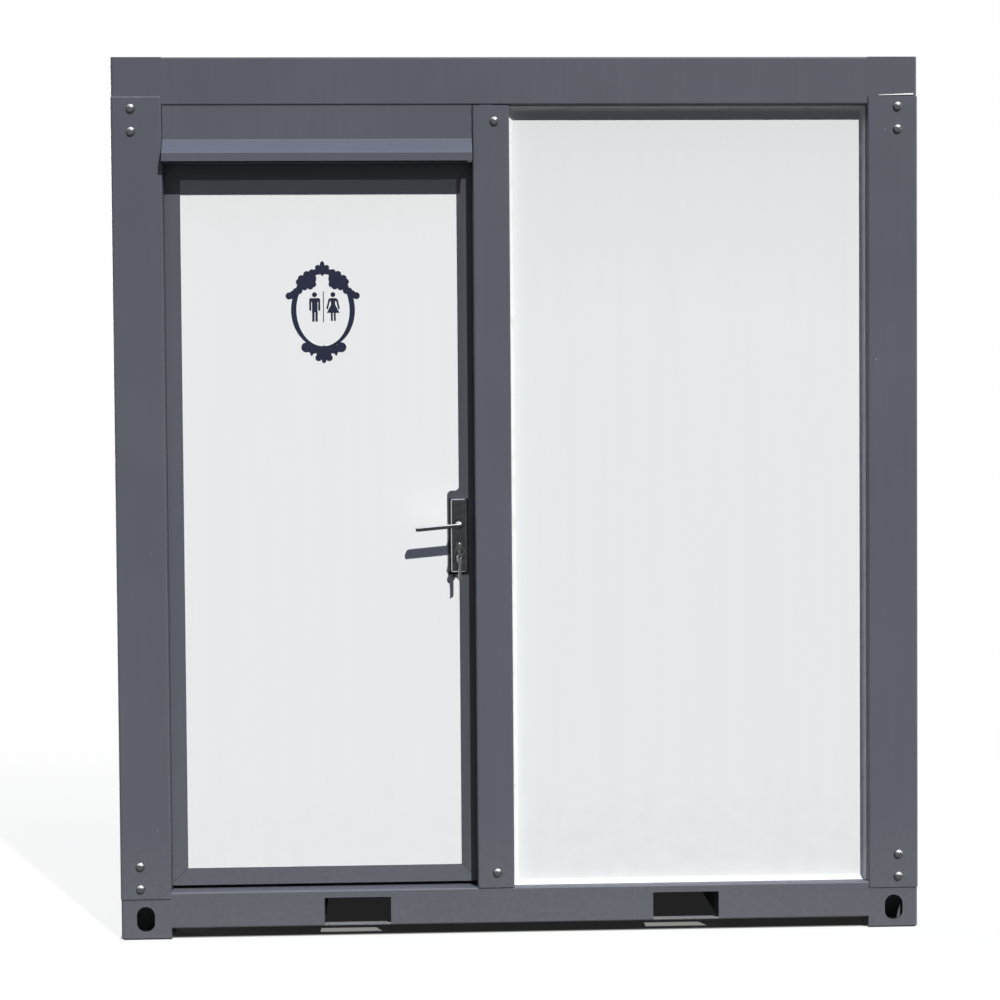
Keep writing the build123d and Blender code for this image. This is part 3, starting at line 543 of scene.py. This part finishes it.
def close_up(piece, finish, smooth_degrees=35):
    """Leave edit mode with faces that point outwards, and give the piece its finish."""
    bpy.ops.mesh.select_all(action="SELECT")
    bpy.ops.mesh.normals_make_consistent(inside=False)
    bpy.ops.object.mode_set(mode="OBJECT")
    bpy.ops.object.select_all(action="DESELECT")
    piece.select_set(True)
    bpy.context.view_layer.objects.active = piece
    bpy.ops.object.shade_smooth_by_angle(angle=radians(smooth_degrees))
    piece.data.materials.clear()
    piece.data.materials.append(finish)
    return piece


def settle(piece):
    """Move a piece's place and turn into its mesh, so that its object sits at the origin."""
    bpy.ops.object.select_all(action="DESELECT")
    piece.select_set(True)
    bpy.context.view_layer.objects.active = piece
    bpy.ops.object.transform_apply(location=True, rotation=True, scale=True)
    return piece


def unite(piece, other):
    """Join another piece into this one by a Boolean union, and drop the other."""
    union = piece.modifiers.new("union", "BOOLEAN")
    union.operation = "UNION"
    union.solver = "EXACT"
    union.object = other
    bpy.context.view_layer.objects.active = piece
    bpy.ops.object.modifier_apply(modifier=union.name)
    bpy.data.objects.remove(other)


def repeat(master, name, places):
    """Copy a modelled piece to each place and turn, join the copies, and drop the master."""
    copies = []
    for spot, turn in places:
        copy = master.copy()
        copy.data = master.data.copy()
        bpy.context.collection.objects.link(copy)
        copy.location = spot
        copy.rotation_euler = turn
        copies.append(copy)
    bpy.data.objects.remove(master)
    bpy.ops.object.select_all(action="DESELECT")
    for copy in copies:
        copy.select_set(True)
    bpy.context.view_layer.objects.active = copies[0]
    bpy.ops.object.join()
    copies[0].name = name
    return settle(copies[0])


to_front = (pi / 2, 0, 0)
to_rear = (-pi / 2, 0, 0)
to_left = (0, -pi / 2, 0)
to_right = (0, pi / 2, 0)
stand_left = (pi / 2, 0, -pi / 2)
stand_right = (pi / 2, 0, pi / 2)

# %% [markdown]
# ## Dome bolts
#
# Each post is held by two dome-headed bolts at its foot and two at its head, and the
# mullion by one at each end. A dome could be a squashed sphere, but a real one has a
# collar under it, so the sphere is cut in half and its flat side drawn out.

# %% Model one dome bolt and repeat it over the front
bolt_radius = 10.8 * mm
bolt_height = 7.5 * mm
collar_radius = 11.6 * mm
collar_height = 1.2 * mm

bolt = start("dome_bolt", "uv_sphere", segments=24, ring_count=14, radius=bolt_radius)
bpy.ops.mesh.bisect(plane_co=(0, 0, 0), plane_no=(0, 0, 1), use_fill=True, clear_inner=True)
bpy.ops.mesh.select_all(action="SELECT")
bpy.ops.transform.resize(value=(1, 1, (bolt_height - collar_height) / bolt_radius))
bpy.ops.transform.translate(value=(0, 0, collar_height))
pick(bolt, "faces", lambda middle, normal: normal.z < -most)
bpy.ops.mesh.extrude_region_move()
bpy.ops.transform.resize(value=(collar_radius / bolt_radius, collar_radius / bolt_radius, 1))
draw_out(0, 0, -collar_height)
close_up(bolt, zinc)

bolt_inset = 53 * mm
bolt_heights = [0.136, 0.195, 2.109, 2.168]
mullion_bolt_heights = [0.165, 2.134]
post_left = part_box("corner_post_front_left")
post_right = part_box("corner_post_front_right")
mullion_low, mullion_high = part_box("front_mullion")
mullion_middle = (mullion_low.x + mullion_high.x) / 2
mullion_bolt_shifts = [3.5 * mm, 9.5 * mm]
right_lift = 3 * mm

front_places = [((post_left[0].x + bolt_inset, front_y, z), to_front) for z in bolt_heights]
front_places += [((post_right[1].x - bolt_inset, front_y, z + right_lift), to_front) for z in bolt_heights]
for shift, z in zip(mullion_bolt_shifts, mullion_bolt_heights):
    front_places.append(((mullion_middle + shift, front_y, z), to_front))
dome_bolts = repeat(bolt, "dome_bolts_front", front_places)
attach(dome_bolts, "cabin")
print("dome bolts:", len(front_places))

# %% [markdown]
# ## Flush bolts
#
# The other faces of the posts aren't in the photograph. They are bolted in the same
# places, with countersunk heads that stay nearly flush with the posts. Only the face of
# such a head shows, so it is a thin disc, inset twice, with a round socket sunk into it.

# %% Model one flush bolt and repeat it over the sides and the rear
flush_radius = 10.0 * mm
flush_thickness = 0.4 * mm
flush_rim = 0.8 * mm
socket_radius = 4.5 * mm
socket_depth = 0.3 * mm

flush_bolt = start("flush_bolt", "cylinder", vertices=24, radius=flush_radius, depth=flush_thickness)
pick(flush_bolt, "faces", lambda middle, normal: normal.z > most)
bpy.ops.mesh.inset(thickness=flush_rim)
bpy.ops.mesh.inset(thickness=flush_radius - socket_radius - flush_rim)
draw_out(0, 0, -socket_depth)
close_up(flush_bolt, zinc)

rear_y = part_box("rear_mullion")[1].y
flush_places = []
for post_x in (post_left[0].x + bolt_inset, post_right[1].x - bolt_inset):
    flush_places += [((post_x, rear_y, z), to_rear) for z in bolt_heights]
flush_places += [((0, rear_y, z), to_rear) for z in mullion_bolt_heights]
for side_x, turn in ((post_left[0].x, to_left), (post_right[1].x, to_right)):
    for post_y in (front_y + bolt_inset, rear_y - bolt_inset):
        flush_places += [((side_x, post_y, z), turn) for z in bolt_heights]
flush_bolts = repeat(flush_bolt, "flush_bolts_sides", flush_places)
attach(flush_bolts, "cabin")
print("flush bolts:", len(flush_places))

# %% [markdown]
# ## Panel beads
#
# Each wall panel is sealed to the frame by a white bead, smoothed to a hollow with a
# finger. It could be four strips, but a plane that is inset leaves a ring with its
# corners already mitred. The ring is drawn out, and a wide bevel with a hollow profile
# takes its inner edge down to the panel.

# %% Model a bead round each wall panel
bead_width = 12 * mm
bead_depth = 12 * mm
bead_hollow = 11 * mm
hollow_profile = 0.12


def panel_bead(name, width, height, spot, turn):
    """A mitred ring with a hollow inner face, on a panel of that size, facing local +Z."""
    bead = start(name, "plane", size=1)
    bpy.ops.transform.resize(value=(width, height, 1))
    bpy.ops.mesh.inset(thickness=bead_width)
    bpy.ops.mesh.delete(type="FACE")
    bpy.ops.mesh.select_all(action="SELECT")
    draw_out(0, 0, bead_depth)

    def on_inner_edge(middle):
        inside_x = width / 2 - abs(middle.x)
        inside_y = height / 2 - abs(middle.y)
        return middle.z > most * bead_depth and min(inside_x, inside_y) > most * bead_width

    pick(bead, "edges", lambda middle, normal: on_inner_edge(middle))
    bpy.ops.mesh.bevel(offset=bead_hollow, segments=6, profile=hollow_profile)
    close_up(bead, bead_white, smooth_degrees=30)
    bead.location = spot
    bead.rotation_euler = turn
    settle(bead)
    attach(bead, "cabin")


front_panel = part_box("front_wall_panel")
left_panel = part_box("left_wall_panel")
right_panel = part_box("right_wall_panel")
rear_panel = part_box("rear_wall_panel")
rear_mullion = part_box("rear_mullion")
panel_low = front_panel[0].z
panel_high = front_panel[1].z
bay_height = panel_high - panel_low
bay_z = (panel_low + panel_high) / 2
bay_right = post_right[0].x
bay_left = post_left[1].x

long_bays = [
    ("front", mullion_high.x, bay_right, front_panel[0].y, to_front),
    ("rear_left", bay_left, rear_mullion[0].x, rear_panel[1].y, to_rear),
    ("rear_right", rear_mullion[1].x, bay_right, rear_panel[1].y, to_rear),
]
for name, low_x, high_x, face_y, turn in long_bays:
    spot = ((low_x + high_x) / 2, face_y, bay_z)
    panel_bead("panel_bead_" + name, high_x - low_x, bay_height, spot, turn)

side_low = post_left[1].y
side_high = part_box("corner_post_rear_left")[0].y
side_bays = [("left", left_panel[0].x, stand_left), ("right", right_panel[1].x, stand_right)]
for name, face_x, turn in side_bays:
    spot = (face_x, (side_low + side_high) / 2, bay_z)
    panel_bead("panel_bead_" + name, side_high - side_low, bay_height, spot, turn)
print("panel beads:", len(long_bays) + len(side_bays))

# %% [markdown]
# ## Door seal
#
# The leaf shuts against black rubber that is pushed over the edges of the post and the
# mullion and runs along the header. Three bars would do, but drawing one end face up,
# across and down round the opening makes it one piece, with its corners closed.

# %% Model the door seal
leaf_low, leaf_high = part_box("door_stile_hinge")
header_low, header_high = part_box("door_header")
seal_side = 7 * mm
seal_depth = 6 * mm
seal_gap = 1.2 * mm
opening_left = post_left[1].x
opening_right = mullion_low.x
seal_back = leaf_low.y - seal_gap
seal_foot = panel_low
seal_head = header_low.z

seal = start("door_seal", "cube", size=1)
bpy.ops.transform.resize(value=(seal_side, seal_depth, seal_side))
seal_start = (opening_left - seal_side / 2, seal_back - seal_depth / 2, seal_foot + seal_side / 2)
bpy.ops.transform.translate(value=seal_start)
pick(seal, "faces", lambda middle, normal: normal.z > most)
draw_out(0, 0, seal_head - seal_foot - seal_side)
draw_out(0, 0, seal_side)
pick(seal, "faces", lambda middle, normal: normal.x > most and middle.z > seal_head)
draw_out(opening_right - opening_left, 0, 0)
draw_out(seal_side, 0, 0)


def under_far_corner(middle, normal):
    """True for the lower face of the seal's second corner."""
    return normal.z < -most and middle.z > seal_foot + seal_side and middle.x > opening_right


pick(seal, "faces", under_far_corner)
draw_out(0, 0, seal_foot - seal_head)
close_up(seal, rubber)
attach(seal, "cabin")
print("door seal around", round(opening_right - opening_left, 3), "m")

# %% [markdown]
# ## Welds and sealed joints
#
# Each post is welded along its head, where it stands a little proud of the block above,
# and the leaf's frame along its mitres. The header's upper joint is filled with sealant.
# A real run is rounded and rippled, and its round face catches a line of light. These are
# at most a few millimetres thick, so a plain bar stands for each. On the posts' welds that
# line is a painted highlight: a pale paint, and at the front right a bright bare metal
# that thins out to the left.

# %% Weld the heads of the posts


def plain_run(name, length, height, depth, finish):
    """A bar of weld or sealant along local X, with its middle at the origin."""
    run = start(name, "cube", size=1)
    bpy.ops.transform.resize(value=(length, depth, height))
    return close_up(run, finish)


weld_height = 1.8 * mm
weld_spare = 4 * mm
weld_extra = 0.8 * mm
weld_length = post_left[1].x - post_left[0].x - weld_spare
block_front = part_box("top_corner_blocks")[0].y
block_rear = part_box("top_corner_blocks")[1].y
post_head = post_left[1].z
weld_depth = block_front - front_y + weld_extra
weld_z = post_head + weld_height / 2
left_x = (post_left[0].x + post_left[1].x) / 2
right_x = (post_right[0].x + post_right[1].x) / 2
weld_places = [((left_x, block_front, weld_z), (0, 0, 0))]
weld_places += [((x, block_rear, weld_z), (0, 0, pi)) for x in (left_x, right_x)]
# Their pale paint is a painted highlight.
head_weld = plain_run("post_head_weld", weld_length, weld_height, weld_depth, pale_weld_highlight)
head_welds = repeat(head_weld, "post_head_welds", weld_places)
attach(head_welds, "cabin")
print("painted head welds:", len(weld_places))

# %% Lay the bare weld and the header's sealant
bare_length = 92 * mm
bare_height = 3.6 * mm
bare_shift = 9 * mm
bare_rise = 5.2 * mm
bare_slope = radians(1.8)
bare_extra = 1 * mm
bare_depth = weld_depth + bare_extra
bare_taper = 0.3
# Its bright metal is a painted glint.
bare_weld = plain_run("bare_head_weld", bare_length, bare_height, bare_depth, bright_weld_highlight)
bpy.ops.object.mode_set(mode="EDIT")
pick(bare_weld, "faces", lambda middle, normal: normal.x < -most)
bpy.ops.transform.resize(value=(1, 1, bare_taper))
close_up(bare_weld, bright_weld_highlight)
bare_weld.rotation_euler = (0, -bare_slope, 0)
bare_weld.location = (right_x + bare_shift, block_front, post_head + bare_rise)
settle(bare_weld)
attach(bare_weld, "cabin")

joint_height = 1.5 * mm
joint_depth = 1.0 * mm
joint_lead = 2.6 * mm
joint_x = (header_low.x + header_high.x) / 2
joint_run = plain_run("header_joint", header_high.x - header_low.x, joint_height, joint_depth, sealant)
joint_run.location = (joint_x, header_low.y - joint_lead, header_high.z + joint_height / 2)
settle(joint_run)
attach(joint_run, "cabin")
print("bare weld", bare_length, "m, sealed joint", round(header_high.x - header_low.x, 3), "m")

# %% Weld the mitres of the leaf
field_low_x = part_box("door_stile_hinge")[1].x
field_high_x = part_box("door_stile_lock")[0].x
field_low_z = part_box("door_rail_bottom")[1].z
field_high_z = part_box("door_rail_top")[0].z
leaf_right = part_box("door_stile_lock")[1].x
corners = [
    (leaf_low.x, leaf_low.z, field_low_x, field_low_z),
    (leaf_right, leaf_low.z, field_high_x, field_low_z),
    (leaf_low.x, leaf_high.z, field_low_x, field_high_z),
    (leaf_right, leaf_high.z, field_high_x, field_high_z),
]
mitre_length = 60 * mm
mitre_height = 1.6 * mm
mitre_depth = 0.5 * mm
mitre_places = []
for outer_x, outer_z, inner_x, inner_z in corners:
    slope = atan2(inner_z - outer_z, inner_x - outer_x)
    middle = ((outer_x + inner_x) / 2, leaf_low.y, (outer_z + inner_z) / 2)
    mitre_places.append((middle, (0, -slope, 0)))
mitre_weld = plain_run("mitre_weld", mitre_length, mitre_height, mitre_depth, sealant)
mitre_welds = repeat(mitre_weld, "leaf_mitre_welds", mitre_places)
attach(mitre_welds, "door")
print("mitre welds:", len(mitre_places))

# %% [markdown]
# ## Painted shadow of the lock plate
#
# A thin black rubber ring round the outer lock plate, deepest below it, is painted
# shadow: it stands for the shadow that the plate casts on the pad. It is the same mitred
# ring as the panel beads, much smaller, so it is drawn from an inset plane too, and its
# upper and lower ends are moved down afterwards.

# %% Model the painted shadow of the lock plate
shadow_ring_width = 4.5 * mm
shadow_ring_depth = 1.4 * mm
shadow_ring_top = 0.6 * mm
shadow_ring_foot = 6.5 * mm
shadow_ring_corner = 2.4 * mm
plate_size = plate_high - plate_low
plate_x = (plate_low.x + plate_high.x) / 2

shadow_ring = start("lock_plate_painted_shadow", "plane", size=1)
bpy.ops.transform.resize(value=(plate_size.x + 2 * shadow_ring_width, plate_size.z + 2 * shadow_ring_width, 1))
bpy.ops.mesh.inset(thickness=shadow_ring_width)
bpy.ops.mesh.delete(type="FACE")
bpy.ops.mesh.select_all(action="SELECT")
draw_out(0, 0, shadow_ring_depth)


def on_outer_corner(middle):
    """True for the four short upright edges at the ring's outer corners."""
    far_x = abs(middle.x) > plate_size.x / 2 + most * shadow_ring_width
    far_y = abs(middle.y) > plate_size.z / 2 + most * shadow_ring_width
    return far_x and far_y and abs(middle.z - shadow_ring_depth / 2) < slight * shadow_ring_depth


pick(shadow_ring, "edges", lambda middle, normal: on_outer_corner(middle))
bpy.ops.mesh.bevel(offset=shadow_ring_corner, segments=4)
outer_end = plate_size.z / 2 + shadow_ring_width - shadow_ring_corner
pick(shadow_ring, "edges", lambda middle, normal: middle.y > outer_end)
bpy.ops.transform.translate(value=(0, shadow_ring_top - shadow_ring_width, 0))
pick(shadow_ring, "edges", lambda middle, normal: middle.y < -outer_end)
bpy.ops.transform.translate(value=(0, shadow_ring_width - shadow_ring_foot, 0))
# The black rubber ring is the plate's painted shadow.
close_up(shadow_ring, rubber)
shadow_ring.location = (plate_x, leaf_low.y, (plate_low.z + plate_high.z) / 2)
shadow_ring.rotation_euler = to_front
settle(shadow_ring)
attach(shadow_ring, "door")
print("lock gasket:", len(shadow_ring.data.polygons), "faces")

# %% [markdown]
# ## Levers
#
# The levers are flat bars that droop a little from a round neck with a domed end, and
# their tops are painted bright as a highlight. They stand for the plain levers of the CAD
# model, in the same place. The bar starts as a cube: its tip and its elbow are rounded in
# plan, then its long edges. The neck is half a ball, drawn out from its flat side and
# united with the bar. The inside lever is a mirrored copy.

# %% Model the bar of the lever
lever_low, lever_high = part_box("lever_outside")
neck_radius = 9.0 * mm
neck_length = lever_high.y - lever_low.y
neck_z = lever_high.z - neck_radius
bar_reach = plate_x - lever_low.x
bar_depth = 20 * mm
bar_height = 10.5 * mm
bar_drop = 2 * mm
bar_droop = radians(5.2)
tip_round = 6 * mm
elbow_round = 12 * mm
edge_round = 2.8 * mm

lever = start("lever_bar_outside", "cube", size=1)
bpy.ops.transform.resize(value=(bar_reach + neck_radius, bar_depth, bar_height))
bpy.ops.transform.translate(value=((neck_radius - bar_reach) / 2, bar_depth / 2, -bar_drop))


def upright(middle):
    """True for the edges of the bar that stand upright."""
    return abs(middle.z + bar_drop) < slight * bar_height


pick(lever, "edges", lambda middle, normal: upright(middle) and middle.x < 0)
bpy.ops.mesh.bevel(offset=tip_round, segments=4)
elbow_front = slight * bar_depth
pick(lever, "edges", lambda middle, normal: upright(middle) and middle.x > 0 and middle.y < elbow_front)
bpy.ops.mesh.bevel(offset=elbow_round, segments=6)
pick(lever, "faces", lambda middle, normal: abs(normal.z) > most)
bpy.ops.mesh.bevel(offset=edge_round, segments=3)
close_up(lever, lever_steel)
print("lever bar:", len(lever.data.polygons), "faces")

# %% Model its neck and unite the two
dome_radius = 10.4 * mm
dome_height = 13 * mm
dome_back = 2 * mm
dome_collar = 8 * mm

neck = start("lever_neck", "uv_sphere", segments=32, ring_count=16, radius=dome_radius)
bpy.ops.mesh.bisect(plane_co=(0, 0, 0), plane_no=(0, 0, 1), use_fill=True, clear_inner=True)
bpy.ops.mesh.select_all(action="SELECT")
bpy.ops.transform.resize(value=(1, 1, dome_height / dome_radius))
pick(neck, "faces", lambda middle, normal: normal.z < -most)
draw_out(0, 0, -dome_collar)
bpy.ops.mesh.inset(thickness=dome_radius - neck_radius)
neck_straight = neck_length - dome_back - dome_height - dome_collar
draw_out(0, 0, -neck_straight)
close_up(neck, lever_steel)
neck.rotation_euler = to_front
neck.location = (0, dome_back + dome_height, 0)
settle(neck)

unite(lever, neck)
print("lever with its neck:", len(lever.data.polygons), "faces")

# %% Mirror it inside and hang both
inside_lever = lever.copy()
inside_lever.data = lever.data.copy()
inside_lever.name = "lever_bar_inside"
bpy.context.collection.objects.link(inside_lever)
inside_lever.scale = (1, -1, 1)
inside_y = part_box("lever_inside")[1].y
hung = ((lever, lever_low.y, "lever_outside"), (inside_lever, inside_y, "lever_inside"))
for piece, face_y, node in hung:
    piece.rotation_euler = (0, -bar_droop, 0)
    piece.location = (plate_x, face_y, neck_z)
    settle(piece)
    bpy.ops.object.mode_set(mode="EDIT")
    close_up(piece, lever_steel)
    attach(piece, "lever")
    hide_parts(node)
print("lever tip at", round(min(v.co.z for v in lever.data.vertices), 4), "m")

# %% [markdown]
# ## Screws
#
# The hinges, the inner lock plate, the latch and the strike are held by countersunk
# screws. Their threads are hidden, so a head is all that is modelled: a flat disc with a
# sloping rim and a round recess sunk into it for the driver.

# %% Model one screw
screw_radius = 3.4 * mm
screw_proud = 0.5 * mm
screw_rim = 0.5 * mm
screw_slope = 0.15 * mm
recess_radius = 1.4 * mm
recess_depth = 0.45 * mm


def countersunk_screw():
    """A screw head facing local +Z, standing on the face that it holds."""
    screw = start("countersunk_screw", "cylinder", vertices=16, radius=screw_radius, depth=screw_proud)
    bpy.ops.transform.translate(value=(0, 0, screw_proud / 2))
    pick(screw, "faces", lambda middle, normal: normal.z > most)
    bpy.ops.mesh.inset(thickness=screw_rim, depth=screw_slope)
    bpy.ops.mesh.inset(thickness=screw_radius - screw_rim - recess_radius)
    draw_out(0, 0, -recess_depth)
    return close_up(screw, zinc)


def screws(name, body, places):
    """Repeat the screw over these places, on a body."""
    made = repeat(countersunk_screw(), name, places)
    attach(made, body)
    print(name, len(places))


# %% Repeat it on the hinges, the lock and the strike
hinge_low, hinge_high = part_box("door_hinges_frame")
leaf_hinge_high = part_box("door_hinges_leaf")[1]
flap_thickness = 3 * mm
flap_face = leaf_high.y + flap_thickness
flap_margin = 7 * mm
hinge_half = 50 * mm
hinge_middles = [hinge_low.z + hinge_half, (hinge_low.z + hinge_high.z) / 2, hinge_high.z - hinge_half]
screw_step = 36 * mm
screw_zs = [z + step for z in hinge_middles for step in (-screw_step, 0, screw_step)]
flaps = (
    ("hinge_screws_frame", "cabin", hinge_low.x + flap_margin),
    ("hinge_screws_leaf", "door", leaf_hinge_high.x - flap_margin),
)
for name, body, x in flaps:
    screws(name, body, [((x, flap_face, z), to_rear) for z in screw_zs])

plate_margin = 14 * mm
plate_ends = [plate_low.z + plate_margin, plate_high.z - plate_margin]
screws("lock_plate_screws", "door", [((plate_x, plate_high.y, z), to_rear) for z in plate_ends])

latch_low, latch_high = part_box("latch_bolt")
strike_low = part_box("strike_plate")[0]
latch_thickness = 2 * mm
latch_face = leaf_right + latch_thickness
latch_y = (latch_low.y + latch_high.y) / 2
latch_ends = [latch_low.z + plate_margin, latch_high.z - plate_margin]
screws("latch_screws", "door", [((latch_face, latch_y, z), to_right) for z in latch_ends])
screws("strike_screws", "cabin", [((strike_low.x, latch_y, z), to_left) for z in latch_ends])

# %% [markdown]
# ## Sign on the door
#
# The sign is cut from thin navy film: an oval frame with leaves and scrolls, and in it
# the plain figures of a man and a woman, as on any washroom door. A picture would need
# an image file, and film has an edge of its own, so ovals and bars are modelled flat
# and welded by union. The frame's right half repeats its left half.

# %% Helpers that cut the film
film_thickness = 0.4 * mm
sign_aside = 8.4 * mm
sign_drop = 391 * mm
sign_x = (field_low_x + field_high_x) / 2 + sign_aside
sign_z = leaf_high.z - sign_drop
film_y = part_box("door_panel")[0].y - film_thickness / 2
# The film was stuck on slightly crooked: this much to the left for each length up.
sign_lean = 0.012
# Each layer lies this much further out, because a union fails where faces coincide.
layer_step = 0.003 * mm
# A leaf's tip is what lies past this share of its half height.
tip_share = 0.85
oval_sides = 24
ring_sides = 72


def lay_film(piece, dx, dz, lean):
    """Stand a flat piece up, dx and dz millimetres from the sign's middle, leaning right."""
    bpy.ops.mesh.select_all(action="SELECT")
    bpy.ops.mesh.normals_make_consistent(inside=False)
    bpy.ops.object.mode_set(mode="OBJECT")
    piece.location = ((dx - sign_lean * dz) * mm, 0, dz * mm)
    piece.rotation_euler = (pi / 2, radians(lean), 0)
    return settle(piece)


def film_oval(dx, dz, half_width, half_height, lean=0, point=1.0, side=1):
    """An oval of film, in millimetres; point narrows its upper end to a tip, side -1 mirrors it."""
    oval = start("film_oval", "cylinder", vertices=oval_sides, radius=mm, depth=film_thickness)
    bpy.ops.transform.resize(value=(half_width, half_height, 1))
    if point < 1:
        tip = tip_share * half_height * mm
        pick(oval, "faces", lambda middle, normal: abs(normal.z) < slight and middle.y > tip)
        bpy.ops.transform.resize(value=(point, 1, 1))
    return lay_film(oval, dx * side, dz, lean * side)


def film_ring(dx, dz, half_width, half_height, side_stroke, end_stroke):
    """An oval ring of film, with one stroke at its sides and another at its upper and lower end."""
    ring = start("film_ring", "cylinder", vertices=ring_sides, radius=mm, depth=film_thickness)
    bpy.ops.transform.resize(value=(half_width, half_height, 1))
    pick(ring, "faces", lambda middle, normal: abs(normal.z) > most)
    bpy.ops.mesh.inset(thickness=end_stroke * mm)
    bpy.ops.transform.resize(value=((half_width - side_stroke) / (half_width - end_stroke), 1, 1))
    bpy.ops.mesh.bridge_edge_loops()
    return lay_film(ring, dx, dz, 0)


def film_bar(dx, dz, width, height, lean=0, top_share=1.0, corner=0.0):
    """A bar of film; top_share narrows its top to a share of its width, corner rounds its four corners."""
    bar = start("film_bar", "cube", size=1)
    bpy.ops.transform.resize(value=(width * mm, height * mm, film_thickness))
    pick(bar, "faces", lambda middle, normal: normal.y > most)
    bpy.ops.transform.resize(value=(top_share, 1, 1))
    if corner:
        pick(bar, "edges", lambda middle, normal: abs(middle.z) < slight * film_thickness)
        bpy.ops.mesh.bevel(offset=corner * mm, segments=4)
    return lay_film(bar, dx, dz, lean)


def weld_film(name, pieces):
    """Unite flat pieces, each a hair further out so that no faces coincide, and lay them on the door."""
    sheet = pieces[0]
    for layer, other in enumerate(pieces[1:], 1):
        other.location.y = -layer * layer_step
        unite(sheet, other)
    sheet.name = name
    sheet.location = (sign_x, film_y, sign_z)
    settle(sheet)
    bpy.ops.object.mode_set(mode="EDIT")
    close_up(sheet, navy_film, smooth_degrees=5)
    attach(sheet, "door")
    return sheet


# %% Cut the frame of the sign
# An oval is its place right of and above the sign's middle, its half width and half height,
# and for some a lean in degrees and the share that their tip keeps.
crown_and_foot = (
    (0, 103, 18.5, 8.5), (0, 115, 6.5, 16, 0, 0.25), (0, 95, 3.5, 5, 180, 0.2),
    (0, -112, 20, 17), (0, -129, 6, 10, 180, 0.3), (0, -98, 4.5, 7.5, 0, 0.2),
)
leaves_and_scrolls = (
    (88, 38.5, 9.2, 9.2), (78.5, 45, 7, 9, -50), (79.5, 38, 6, 7.5), (70, 52, 7.2, 8, -30),
    (11.5, 112.3, 7, 7), (18.5, 100.5, 8, 7.5), (27, 99.5, 8.5, 8.5), (40.5, 94, 9.5, 9.5),
    (54.5, 83.5, 9.5, 9.5), (62, 75, 7.5, 8), (31, 82, 15, 19, -12), (47, 75, 15, 15),
    (59, 62, 9, 14, -20), (62, 52.5, 9, 9.5), (23.5, 69, 7.5, 8), (32, 62.5, 8, 7.5),
    (47, 61, 8, 8), (46, -96.5, 13, 13), (28, -101, 15, 12), (12, -103, 13, 9),
    (32, -113, 3.5, 6, 180, 0.3), (14, -124, 9, 8.5),
)
frame_film = [film_ring(0, 1, half_width=83.7, half_height=100, side_stroke=14, end_stroke=5.5)]
frame_film += [film_oval(*oval) for oval in crown_and_foot]
for side in (-1, 1):
    frame_film += [film_oval(*oval, side=side) for oval in leaves_and_scrolls]
sign_frame = weld_film("sign_frame", frame_film)
print("sign frame:", len(sign_frame.data.polygons), "faces")

# %% [markdown]
# ## The two figures
#
# Each figure is a few rounded bars and an oval for the head, given in millimetres from the
# sign's middle. One traced outline could draw it too, but bars keep its limbs even, and
# they are easy to change. A thin bar parts the two.

# %% Cut the two figures
man_x = -21.4
man = [film_bar(man_x, 27.5, 28.6, 10, corner=4.2), film_oval(man_x, 41.4, 6.5, 6.5)]
man.append(film_bar(man_x, 13.5, 14.4, 36))
for side in (-1, 1):
    man.append(film_bar(man_x + 11.7 * side, 15, 5.2, 31, corner=1.8))
    man.append(film_bar(man_x + 4.2 * side, -15.5, 6.2, 27, corner=1.4))
woman_x = 26.6
woman = [film_bar(woman_x, 28.2, 21, 8, corner=3.2), film_oval(woman_x, 41.6, 6.4, 6.4)]
woman.append(film_bar(woman_x, 21.2, 11, 18))
woman.append(film_bar(woman_x, 4.7, 33.4, 22, top_share=0.31))
for side in (-1, 1):
    woman.append(film_bar(woman_x + 12.6 * side, 16.7, 4.8, 27, lean=-12 * side, corner=1.8))
    woman.append(film_bar(woman_x + 4 * side, -15.8, 5, 23, corner=1.4))
sign_man = weld_film("sign_man", man)
sign_woman = weld_film("sign_woman", woman)
weld_film("sign_divider", [film_bar(1.3, 9.8, 2.2, 81, corner=0.6)])
print("figures:", len(sign_man.data.polygons) + len(sign_woman.data.polygons), "faces")
